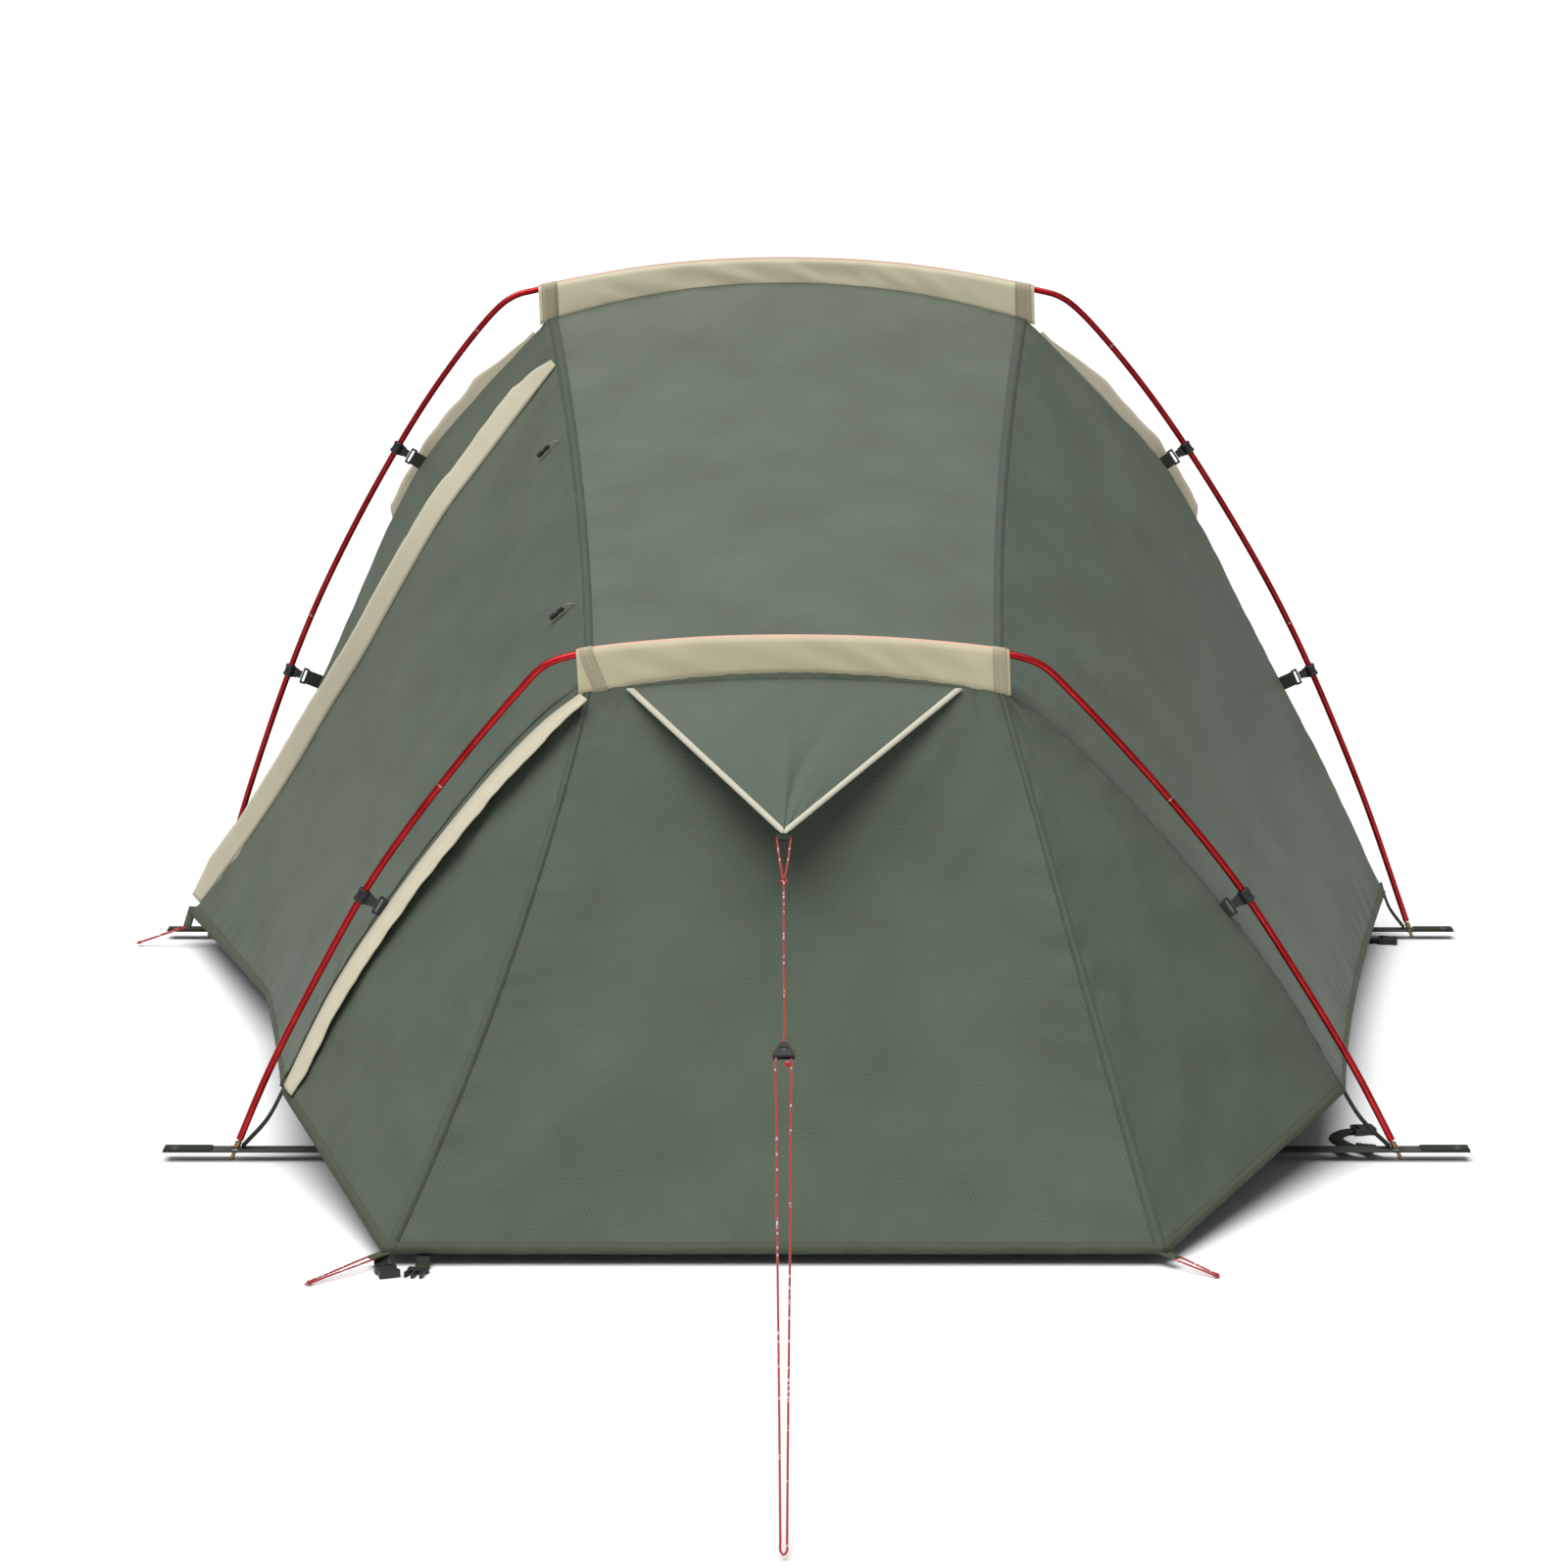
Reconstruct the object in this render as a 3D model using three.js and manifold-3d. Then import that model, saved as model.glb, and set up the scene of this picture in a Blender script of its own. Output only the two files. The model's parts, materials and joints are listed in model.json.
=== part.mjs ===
// A two-hoop tunnel tent: two external poles, a tall one and a low one, carry a fly sheet that tapers
// to the front. The fly hangs from a sleeve on each hoop's crown and from clips on its legs.
// Millimetres, +Z up, +Y to the tall rear end, +X to the right-hand side seen from the front.
// Origin: on the ground, at the middle of the tent's box without its cords.
import * as THREE from "three";
import { ParametricGeometry } from "three/addons/geometries/ParametricGeometry.js";
import { mergeVertices } from "three/addons/utils/BufferGeometryUtils.js";
import Module from "manifold-3d";

// ---- Driving dimensions ----
const POLE_RADIUS = 4.75;
const TIP_LENGTH = 30; // from the end of the pole tube to the ground, along the pole
const TIP_RADIUS = 2.75;
const CLOTH = 1.5; // gauge of the cloth solids
const GAP = 0.3; // left between pieces that touch
const SEAM = 1.6; // half the slit left along a sewn seam
const WEBBING = { width: 25, gauge: 2, height: 13 }; // base straps, height of their underside
const FRONT_HEM = { y: -1447, left: -527, right: 419, z: 15 };
const REAR_HEM = { y: 1500, left: -440, right: 440, z: 15 };

// Each hoop stands in a plane y. Its pole and the fly's edge are drawn on the right-hand side as
// [x, z] and mirrored; sway is how far the hoop leans to the side per millimetre of height.
const TALL = {
  name: "tall",
  y: 230,
  sway: -0.0373,
  sections: 6,
  strap: 1045, // half the base strap
  pole: [[980, 0], [890, 267], [762, 566], [582, 867], [457, 1020], [428, 1040], [395, 1049], [200, 1083],
    [0, 1094]],
  sleeve: 390, // half its width
  roof: { half: 375, edge: 1004, crown: 1062 },
  wall: [[375, 1004], [504, 872], [581, 786], [640, 690], [728, 512], [829, 310], [936, 77]],
};
const LOW = {
  name: "low",
  y: -1007,
  sway: -0.0464,
  sections: 4,
  strap: 860,
  pole: [[771.5, 0], [711, 125], [633, 262], [562, 376], [470, 496], [356, 626], [322, 659], [290, 672], [150, 689],
    [0, 694]],
  sleeve: 278,
  roof: { half: 268, edge: 628, crown: 656 },
  wall: [[268, 628], [320, 590], [385, 528], [448, 458], [530, 358], [620, 232], [698, 92]],
};
const SIDES = { left: -1, right: 1 };

// The side door's rear zip, as its distance ahead of the tall hoop from the roof seam to the hem.
const ZIP_AHEAD = [165, 225, 255, 225, 150, 85, 46];
const CORNER_FLARE = 72; // how far the left rear corner is pegged out
const DOOR_SETBACK = 30; // side door's front edge, behind the low hoop
const FIN_WIDTH = 36; // zip flaps
const REAR_DOOR_START = 0.065; // share of the way from the tall hoop to the rear ridge seam

// ---- Materials ----
function finish(color, roughness, metalness = 0) {
  return new THREE.MeshStandardMaterial({ color, roughness, metalness });
}
const ripstop = finish("#58655a", 0.72);
const trimCloth = finish("#bdb59b", 0.8);
const anodised = finish("#b3202a", 0.32, 0.85);
const brass = finish("#a88a52", 0.4, 0.9);
const steel = finish("#6d7070", 0.38, 0.9);
const acetal = finish("#17181a", 0.5);
const webbingCloth = finish("#2d3229", 0.85);
const cordSheath = finish("#b8222b", 0.75);

const tent = new THREE.Group();
function add(name, geometry, material, parent = tent) {
  const mesh = new THREE.Mesh(geometry, material);
  mesh.name = name;
  parent.add(mesh);
  return mesh;
}

// ---- Solids ----
const wasm = await Module();
wasm.setup();

function solid(geometry) {
  const bare = new THREE.BufferGeometry();
  bare.setAttribute("position", geometry.getAttribute("position"));
  bare.setIndex(geometry.getIndex());
  const merged = mergeVertices(bare, 1e-3);
  const mesh = new wasm.Mesh({
    numProp: 3,
    vertProperties: merged.getAttribute("position").array,
    triVerts: new Uint32Array(merged.getIndex().array),
  });
  return new wasm.Manifold(mesh);
}

function geometryOf(manifold) {
  const mesh = manifold.getMesh();
  const geometry = new THREE.BufferGeometry();
  geometry.setAttribute("position", new THREE.BufferAttribute(mesh.vertProperties, 3));
  geometry.setIndex(new THREE.BufferAttribute(mesh.triVerts, 1));
  return geometry;
}

// Cloth hung over ribs: each rib is a curve u -> point, and the sheet runs straight from one rib to
// the next. It becomes a closed slab, half its gauge to each side.
function cloth(ribs, columns, gauge = CLOTH) {
  const grid = ribs.map((rib) => Array.from({ length: columns + 1 }, (_, j) => rib(j / columns)));
  const normal = (i, j) => {
    const along = grid[Math.min(i + 1, ribs.length - 1)][j].clone().sub(grid[Math.max(i - 1, 0)][j]);
    const across = grid[i][Math.min(j + 1, columns)].clone().sub(grid[i][Math.max(j - 1, 0)]);
    return across.cross(along).normalize();
  };
  const loop = 2 * (columns + 1);
  const rows = ribs.length + 1;
  const skin = (u, v, target) => {
    const k = Math.round(u * loop) % loop;
    const row = Math.round(v * rows);
    const i = THREE.MathUtils.clamp(row - 1, 0, ribs.length - 1);
    const j = k <= columns ? k : loop - 1 - k;
    const cap = row === 0 || row === rows;
    const offset = cap ? 0 : (k <= columns ? 0.5 : -0.5) * gauge;
    target.copy(grid[i][j]).addScaledVector(normal(i, j), offset);
  };
  return new ParametricGeometry(skin, loop, rows);
}

function lerp(a, b, t) {
  return a.clone().lerp(b, t);
}

function smooth(points) {
  return new THREE.CatmullRomCurve3(points, false, "centripetal");
}

// A stretch of a longer curve, from one share of its length to another.
class Stretch extends THREE.Curve {
  constructor(curve, from, to) {
    super();
    Object.assign(this, { curve, from, to });
  }
  getPoint(t, target = new THREE.Vector3()) {
    return target.copy(this.curve.getPointAt(this.from + (this.to - this.from) * t));
  }
}

function disc(radius, sides) {
  const corners = Array.from({ length: sides }, (_, k) => {
    const angle = (2 * Math.PI * k) / sides;
    return new THREE.Vector2(radius * Math.cos(angle), radius * Math.sin(angle));
  });
  return new THREE.Shape(corners);
}

function rectangle(x0, x1, y0, y1) {
  const corners = [[x0, y0], [x1, y0], [x1, y1], [x0, y1]];
  return new THREE.Shape(corners.map(([x, y]) => new THREE.Vector2(x, y)));
}

function tube(path, radius, sides, steps, bore = 0) {
  const section = disc(radius, sides);
  if (bore > 0) section.holes.push(disc(bore, sides));
  return new THREE.ExtrudeGeometry(section, { extrudePath: path, steps, bevelEnabled: false });
}

function plate(shape, depth) {
  const geometry = new THREE.ExtrudeGeometry(shape, { depth, bevelEnabled: false, curveSegments: 6 });
  return geometry.translate(0, 0, -depth / 2);
}

// ---- Hoops ----
function onHoop(hoop, side, x, z, y = hoop.y) {
  return new THREE.Vector3(side * x + hoop.sway * z, y, z);
}

function poleCurve(hoop) {
  const left = hoop.pole.map(([x, z]) => onHoop(hoop, -1, x, z));
  const right = hoop.pole.slice(0, -1).map(([x, z]) => onHoop(hoop, 1, x, z));
  return smooth([...left, ...right.reverse()]);
}

for (const hoop of [TALL, LOW]) {
  hoop.curve = poleCurve(hoop);
  hoop.length = hoop.curve.getLength();
}

// The pole is a run of equal tube sections, pushed together at their ferrules.
function buildPole(hoop) {
  const start = TIP_LENGTH / hoop.length;
  const share = (1 - 2 * start) / hoop.sections;
  const slit = GAP / 2 / hoop.length;
  for (let k = 0; k < hoop.sections; k++) {
    const from = start + k * share + slit;
    const path = new Stretch(hoop.curve, from, from + share - 2 * slit);
    add(`${hoop.name}_pole_section_${k + 1}`, tube(path, POLE_RADIUS, 10, 14), anodised);
  }
}

// Where the pole's middle line crosses a height, near one foot.
function poleAt(hoop, side, height) {
  let low = 0;
  let high = 0.4;
  for (let k = 0; k < 40; k++) {
    const middle = (low + high) / 2;
    if (hoop.curve.getPointAt(side < 0 ? middle : 1 - middle).z < height) low = middle;
    else high = middle;
  }
  const t = side < 0 ? low : 1 - low;
  return { point: hoop.curve.getPointAt(t), tangent: hoop.curve.getTangentAt(t).multiplyScalar(-side) };
}

// A turned tip, sheared to lean with the pole, so that it stands flat on the ground.
function buildTip(hoop, side, sideName) {
  const { point, tangent } = poleAt(hoop, side, 1);
  const top = TIP_LENGTH * tangent.z - 2.6;
  const collar = top - 7;
  const shoulder = POLE_RADIUS - 0.4;
  const outline = [[0, 0], [TIP_RADIUS, 0], [TIP_RADIUS, collar], [shoulder, collar], [shoulder, top], [0, top]];
  const geometry = new THREE.LatheGeometry(outline.map(([r, z]) => new THREE.Vector2(r, z)), 12);
  geometry.rotateX(Math.PI / 2);
  const lean = tangent.x / tangent.z;
  const shear = new THREE.Matrix4().set(1, 0, lean, point.x - lean, 0, 1, 0, hoop.y, 0, 0, 1, 0, 0, 0, 0, 1);
  add(`${hoop.name}_${sideName}_pole_tip`, geometry.applyMatrix4(shear), brass);
}

// A webbing strap from foot to foot, with a grommet for each pole tip and a peg eyelet in each tail.
const GROMMET = { bore: 5, barrel: 6.5, flange: 10, sheet: 1.1 };
function buildBaseStrap(hoop) {
  const middle = WEBBING.height + WEBBING.gauge / 2;
  const feet = Object.values(SIDES).map((side) => poleAt(hoop, side, middle).point);
  const ends = [-hoop.strap, hoop.strap];
  const outline = rectangle(ends[0], ends[1], -WEBBING.width / 2, WEBBING.width / 2);
  feet.forEach((foot, k) => {
    const hole = new THREE.Path().absarc(foot.x, 0, GROMMET.barrel + 0.5, 0, 2 * Math.PI, true);
    const eyelet = new THREE.Path().absarc(ends[k] + (k === 0 ? 15 : -15), 0, 4, 0, 2 * Math.PI, true);
    outline.holes.push(hole, eyelet);
  });
  add(`${hoop.name}_base_strap`, plate(outline, WEBBING.gauge).translate(0, hoop.y, middle), webbingCloth);
  Object.keys(SIDES).forEach((sideName, k) => {
    const { bore, barrel, flange, sheet } = GROMMET;
    const lip = WEBBING.gauge / 2 + GAP;
    const rim = lip + sheet;
    const ring = [[bore, -rim], [flange, -rim], [flange, -lip], [barrel, -lip], [barrel, lip], [flange, lip],
      [flange, rim], [bore, rim], [bore, -rim]];
    const geometry = new THREE.LatheGeometry(ring.map(([r, z]) => new THREE.Vector2(r, z)), 16);
    geometry.rotateX(Math.PI / 2).translate(feet[k].x, hoop.y, middle);
    add(`${hoop.name}_${sideName}_grommet`, geometry, steel);
  });
}

// ---- Fly ----
// Ribs: wallEdge runs from the roof seam down to the hem in a hoop's plane; roofEdge from left to right.
function wallEdge(hoop, side, y = hoop.y) {
  const curve = smooth(hoop.wall.map(([x, z]) => onHoop(hoop, side, x, z, y)));
  return (u) => curve.getPointAt(THREE.MathUtils.clamp(u, 0, 1));
}

function roofEdge(hoop, y = hoop.y) {
  const { half, edge, crown } = hoop.roof;
  return (u) => {
    const t = 2 * u - 1;
    return onHoop(hoop, 1, half * t, crown - (crown - edge) * t * t, y);
  };
}

function between(ribA, ribB, share, sag, inward) {
  return (u) => {
    const v = typeof share === "function" ? share(u) : share;
    return lerp(ribA(u), ribB(u), v).addScaledVector(inward(u), sag * 4 * v * (1 - v));
  };
}

function inset(rib, edge) {
  return (u) => rib(edge + (1 - 2 * edge) * u);
}

const SPAN = TALL.y - LOW.y;
const EDGE = 0.0035; // share of a sheet's width left free along its seams
const SAG = 20; // how far the sheets between the hoops hang in at mid-span

function inwards(side) {
  return () => new THREE.Vector3(-side * 0.75, 0, -0.66);
}

function roofInwards(u) {
  const t = 2 * u - 1;
  return new THREE.Vector3(-t * 0.75, 0, -1 + 0.34 * t * t);
}

const roofRibs = [SEAM / SPAN, 0.2, 0.4, 0.6, 0.8, 1 - SEAM / SPAN];
add("roof_panel", cloth(roofRibs.map((v) => inset(
  between(roofEdge(TALL), roofEdge(LOW), v, SAG, roofInwards), EDGE)).reverse(), 10), ripstop);

// The rear ridge seams and the front seams run from a hoop's shoulder to a hem corner.
function shoulderSeam(hoop, side, hem) {
  const top = onHoop(hoop, side, hoop.roof.half, hoop.roof.edge);
  const foot = new THREE.Vector3(side < 0 ? hem.left : hem.right, hem.y, hem.z);
  return (u) => lerp(top, foot, u);
}

// A share of the way round the end of the tent, from a hoop's edge to the shoulder seam.
function endRib(hoop, side, hem, share) {
  return between(wallEdge(hoop, side), shoulderSeam(hoop, side, hem), share, 0, inwards(side));
}

function below(rib, from, to = 1 - EDGE) {
  return (u) => rib(from + (to - from) * u);
}

function facing(ribs, side) {
  return side > 0 ? ribs : [...ribs].reverse();
}

// Right wall: one sheet from the rear door's zip, past the tall hoop, to the low hoop.
const rightTall = wallEdge(TALL, 1);
const rightLow = wallEdge(LOW, 1);
const wallRibs = [0, 0.25, 0.5, 0.75, 1 - SEAM / SPAN]
  .map((v) => between(rightTall, rightLow, v, SAG, inwards(1)));
const REAR_EDGE = REAR_DOOR_START - 0.006; // where the walls end, just ahead of the rear doors
function rearRibs(side) {
  return [1, 0.5].map((share) => endRib(TALL, side, REAR_HEM, REAR_EDGE * share));
}
const rightRibs = [...rearRibs(1), ...wallRibs].map((rib) => below(rib, 0.008));
add("right_wall", cloth(rightRibs.reverse(), 16), ripstop);

// Left: a strip along the tall hoop, then the side door ahead of its zip.
const zipCurve = smooth(ZIP_AHEAD.map((ahead, k) => new THREE.Vector3(ahead, k, 0)));
function zipShare(u) {
  return zipCurve.getPoint(THREE.MathUtils.clamp(u, 0, 1)).x / SPAN;
}
const leftTall = wallEdge(TALL, -1);
const leftLow = wallEdge(LOW, -1);
function leftRib(share) {
  const rib = between(leftTall, leftLow, share, SAG, inwards(-1));
  return (u) => {
    const v = typeof share === "function" ? share(u) : share;
    const zip = zipShare(u);
    const reach = v < zip ? v / zip : Math.max(0, 1 - (v - zip) / 0.5);
    const low = Math.max(0, (u - 0.72) / 0.28);
    return rib(u).add(new THREE.Vector3(-1, 0, -0.35).multiplyScalar(CORNER_FLARE * low * low * reach));
  };
}
function beside(offset, share = 1) {
  return leftRib((u) => share * zipShare(u) + offset / SPAN);
}
const stripShares = Array.from({ length: 10 }, (_, k) => (k + 1) / 10);
const stripRibs = [...rearRibs(-1), leftRib(0), ...stripShares.map((share) => beside(-SEAM * share, share))];
add("tall_hoop_strip", cloth(stripRibs.map((rib) => below(rib, 0.008)), 44), ripstop);
const doorLast = 1 - DOOR_SETBACK / SPAN;
function doorRib(t) {
  return leftRib((u) => THREE.MathUtils.lerp(zipShare(u) + 3 / SPAN, doorLast, t));
}
const doorRibs = [0, 0.15, 0.3, 0.45, 0.6, 0.8, 1].map((t) => below(doorRib(t), 0.012));
add("side_door", cloth(doorRibs, 18), ripstop);

// The ends: a middle panel between the shoulder seams and a side piece on each hand.
const END_SAG = 15;
function endPanel(hoop, hem) {
  const left = shoulderSeam(hoop, -1, hem);
  const right = shoulderSeam(hoop, 1, hem);
  const rise = hoop.roof.crown - hoop.roof.edge;
  const outwards = Math.sign(hem.y);
  return [0.004, 0.12, 0.25, 0.4, 0.55, 0.75, 1].map((v) => (u) => {
    const t = 2 * u - 1;
    const point = lerp(left(v), right(v), u);
    point.z += rise * (1 - t * t) * (1 - v) * (1 - v);
    point.y += outwards * ((v < 0.01 ? SEAM : 0) - END_SAG * 4 * v * (1 - v));
    return point;
  });
}
add("front_panel", cloth(endPanel(LOW, FRONT_HEM).map((rib) => inset(rib, 0.005)).reverse(), 16), ripstop);
add("rear_panel", cloth(endPanel(TALL, REAR_HEM).map((rib) => inset(rib, 0.005)), 16), ripstop);
const REAR_DOOR_SHARES = [REAR_DOOR_START, 0.17, 0.28, 0.4, 0.52, 0.64, 0.76, 0.88, 0.99];
for (const [sideName, side] of Object.entries(SIDES)) {
  const gusset = [0.004, 0.16, 0.33, 0.5, 0.67, 0.83, 0.99].map((w) => {
    const rib = endRib(LOW, side, FRONT_HEM, w);
    return (u) => rib(u).add(new THREE.Vector3(0, w < 0.01 ? -SEAM : 0, 0));
  });
  add(`front_${sideName}_panel`, cloth(facing(gusset.map((rib) => below(rib, 0.05)), -side), 18), ripstop);
  const door = REAR_DOOR_SHARES.map((w) => endRib(TALL, side, REAR_HEM, w));
  add(`rear_${sideName}_door`, cloth(facing(door.map((rib) => below(rib, 0.05)), side), 22), ripstop);
}

// Zip flaps: fins of trim cloth sewn along the zips of the side door, standing out from the fly.
function fin(base, lean, width, top, bottom) {
  const depth = (u) => width * Math.sin(Math.PI * Math.min(0.92, 0.12 + 0.8 * u)) ** 0.3;
  const free = (u) => base(u).addScaledVector(lean, depth(u));
  return cloth([below(base, top, bottom), below(free, top, bottom)].reverse(), 14, 1.2);
}
const rearFinLean = new THREE.Vector3(-0.72, 0.45, 0.53).normalize();
const rearFinBase = (u) => beside(-2)(u).addScaledVector(rearFinLean, 3.6);
add("side_door_rear_flap", fin(rearFinBase, rearFinLean, FIN_WIDTH, 0.02, 0.985), trimCloth);
const gussetOut = new THREE.Vector3(-0.69, -0.48, 0.52);
const gussetAcross = new THREE.Vector3(0.42, -0.9, -0.14);
const frontFlapRibs = [[3, 3], [24, 6], [48, 7]].map(([across, lift]) => (u) =>
  leftLow(u).addScaledVector(gussetAcross, across).addScaledVector(gussetOut, lift));
const frontFlap = frontFlapRibs.map((rib) => below(rib, 0.07, 0.985)).reverse();
add("side_door_front_flap", cloth(frontFlap, 14, 1.2), trimCloth);

// A sleeve: a tunnel round the pole's crown on a web that reaches down to the roof.
function buildSleeve(hoop) {
  const upright = (share) => hoop.curve.getPointAt(share).x - hoop.sway * hoop.curve.getPointAt(share).z;
  const [from, to] = Object.values(SIDES).map((side) => {
    let share = 0.5;
    while (upright(share) * side < hoop.sleeve) share += side * 0.0005;
    return share;
  });
  const path = new Stretch(hoop.curve, from, to);
  const tunnel = solid(tube(path, POLE_RADIUS + 2.2, 12, 22, POLE_RADIUS + 1.2));
  const top = (u) => path.getPoint(u).add(new THREE.Vector3(0, 0, -(POLE_RADIUS + 1.7)));
  const roof = roofEdge(hoop);
  const bottom = (u) => {
    const point = roof(u);
    point.x += (2 * u - 1) * (hoop.sleeve - hoop.roof.half);
    point.z += SEAM + 0.4;
    return point;
  };
  const web = solid(cloth([top, bottom], 16));
  add(`${hoop.name}_sleeve`, geometryOf(tunnel.add(web)), trimCloth);
}

// Vent hood: a V of cloth sewn under the low sleeve, its point held out by the guyline.
const HOOD = { half: 216, top: 644, point: new THREE.Vector3(-43, -1206, 479) };
function hoodTop(u) {
  const t = 2 * u - 1;
  return onHoop(LOW, 1, HOOD.half * t, HOOD.top - 13 * t * t, LOW.y - 14);
}
const hoodRibs = [0.97, 0.6, 0.3, 0].map((v) => (u) => lerp(hoodTop(u), HOOD.point, v));
add("vent_hood", cloth(hoodRibs, 8), ripstop);

// ---- Pole clips ----
// A collar snaps round the pole and turns on it; a ring and a webbing strap sewn to the fly hold it.
const COLLAR = { radius: 8.5, bore: POLE_RADIUS + 0.4, length: 18, tongue: 20 };
const CLIPS = [
  ["tall", TALL, "upper", 800],
  ["tall", TALL, "lower", 442],
  ["low", LOW, "leg", 357],
];
function buildClip(name, hoop, side, height) {
  const { point, tangent } = poleAt(hoop, side, height);
  const inward = new THREE.Vector3(0, 1, 0).cross(tangent).multiplyScalar(-side);
  if (inward.x * side > 0) inward.negate();
  const clip = new THREE.Group();
  clip.matrixAutoUpdate = false;
  clip.matrix.makeBasis(inward, tangent.clone().cross(inward), tangent).setPosition(point);
  tent.add(clip);
  const { radius, bore, length, tongue } = COLLAR;
  const round = disc(radius, 20);
  round.holes.push(disc(bore, 16));
  const tab = solid(plate(rectangle(radius - 1.5, tongue, -1.5, 1.5), length - 2));
  add(`${name}_collar`, geometryOf(solid(plate(round, length)).add(tab)), acetal, clip);

  const edge = wallEdge(hoop, side);
  let reach = 100;
  for (let u = 0; u <= 1; u += 0.002) {
    const offset = edge(u).sub(point);
    if (Math.abs(offset.dot(tangent)) < 12) reach = Math.min(reach, offset.dot(inward));
  }
  const strap = rectangle(tongue + 0.6, reach - 2.2, -11, 11);
  strap.holes.push(rectangle(tongue + 3.6, tongue + 7, -8.5, 8.5));
  add(`${name}_strap`, plate(strap, 3).rotateX(Math.PI / 2), webbingCloth, clip);
}

// ---- Guyline ----
// Runs from the hood down to its peg, turns round it and comes back up to the slider.
const GUY_END = new THREE.Vector3(-43, -2366, 3.5);
const GUY_RADIUS = 1.25;
const GUY = { length: HOOD.point.distanceTo(GUY_END), start: 8, slider: 438, spread: 8.75, bight: 3.3 };
const guyFrame = new THREE.Group();
const guyAlong = GUY_END.clone().sub(HOOD.point).normalize();
guyFrame.matrixAutoUpdate = false;
guyFrame.matrix.makeBasis(new THREE.Vector3(1, 0, 0), guyAlong, new THREE.Vector3(1, 0, 0).cross(guyAlong));
guyFrame.matrix.setPosition(HOOD.point);
tent.add(guyFrame);
const guyRoute = [[0, GUY.start], [0, 98], [0, 260], [0, 415], [-3, 428], [-GUY.spread, 450], [-8, 560], [-7, 760],
  [-5.3, 960], [-4, 1120], [-GUY.bight, 1225], [-3, 1241], [0, GUY.length - 8], [3, 1241], [GUY.bight, 1225], [4, 1120],
  [5.3, 960], [7, 760], [8, 560], [GUY.spread, 452]];
const guyPath = smooth(guyRoute.map(([x, y]) => new THREE.Vector3(x, y, 0)));
add("guyline", tube(guyPath, GUY_RADIUS, 8, 78), cordSheath, guyFrame);

// The slider: a three-cornered plate over the line, with a keeper under its wide end.
function buildSlider() {
  const outline = new THREE.Shape([[-4, -12], [4, -12], [13, 10], [13, 13], [-13, 13], [-13, 10]]
    .map(([x, y]) => new THREE.Vector2(x, y)));
  const lift = GUY_RADIUS + 0.45;
  const body = solid(plate(outline, 3.4).translate(0, 0, -lift - 1.7));
  const keeper = rectangle(-13, 13, -lift - 1, lift + 1.6);
  keeper.holes.push(rectangle(-11.5, 11.5, -lift + 0.01, lift));
  const hoop = solid(plate(keeper, 5).rotateX(Math.PI / 2).translate(0, 9.5, 0));
  return geometryOf(body.add(hoop));
}
add("guy_slider", buildSlider().translate(0, GUY.slider, 0), acetal, guyFrame);

// ---- Peg loops ----
// A loop of cord through each pegging corner, drawn out to the knot where its peg goes.
const PEG_LOOPS = {
  rear_left: { tab: [-1004, 170, 34], knot: [-1088, 176, 4] },
  front_left: { tab: [-540, -1456, 13], knot: [-612, -1525, 3] },
  front_right: { tab: [430, -1456, 13], knot: [478, -1496, 3] },
};
const LOOP_OFFSETS = [[0, 6], [0.3, 5], [0.7, 3], [0.94, 2.2], [1, 0], [0.94, -2.2], [0.7, -3], [0.3, -5], [0, -6]];
for (const [name, { tab, knot }] of Object.entries(PEG_LOOPS)) {
  const start = new THREE.Vector3(...tab);
  const end = new THREE.Vector3(...knot);
  const across = new THREE.Vector3(0, 0, 1).cross(end.clone().sub(start)).normalize();
  const path = smooth(LOOP_OFFSETS.map(([t, side]) => lerp(start, end, t).addScaledVector(across, side)));
  add(`${name}_peg_loop`, tube(path, GUY_RADIUS, 8, 26), cordSheath);
}

// ---- Small hardware ----
// Toggles that hold the rolled-up side door, each on its stub of cord below the roof seam.
const TOGGLE_STANDOFF = 8;
const TOGGLES = { side_door_rear_toggle: 0.33, side_door_front_toggle: 0.77 };
for (const [name, share] of Object.entries(TOGGLES)) {
  const anchor = leftRib(share)(0.02);
  const down = leftRib(share)(0.1).sub(anchor).normalize();
  const out = down.clone().cross(new THREE.Vector3(0, 1, 0)).negate();
  if (out.z < 0) out.negate();
  const outline = [[0, 0], [1, 0.4], [1, 16], [3, 18], [3.6, 28], [3, 38], [0, 39.5]];
  const geometry = new THREE.LatheGeometry(outline.map(([r, y]) => new THREE.Vector2(r, y)), 10);
  const frame = new THREE.Matrix4().makeBasis(out.clone().cross(down).negate(), down, out);
  if (frame.determinant() < 0) frame.makeBasis(out.clone().cross(down), down, out);
  frame.setPosition(anchor.addScaledVector(out, TOGGLE_STANDOFF));
  add(name, geometry, acetal).applyMatrix4(frame);
}

// A zip slider, parked at the foot of the side door's front zip.
function buildZipSlider(name, rib) {
  const foot = rib(0.965);
  const up = rib(0.75).sub(foot).normalize();
  const out = new THREE.Vector3(0, 1, 0).cross(up);
  if (out.x > 0) out.negate();
  const frame = new THREE.Matrix4().makeBasis(up.clone().cross(out), up, out);
  frame.setPosition(foot.addScaledVector(out, 1));
  const outline = new THREE.Shape([[-4, -7], [4, -7], [4.5, 3], [2.5, 8], [-2.5, 8], [-4.5, 3]]
    .map(([x, y]) => new THREE.Vector2(x, y)));
  add(name, plate(outline, 5), acetal).applyMatrix4(frame);
}
buildZipSlider("front_zip_slider", leftRib(1 - 14 / SPAN));

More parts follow.
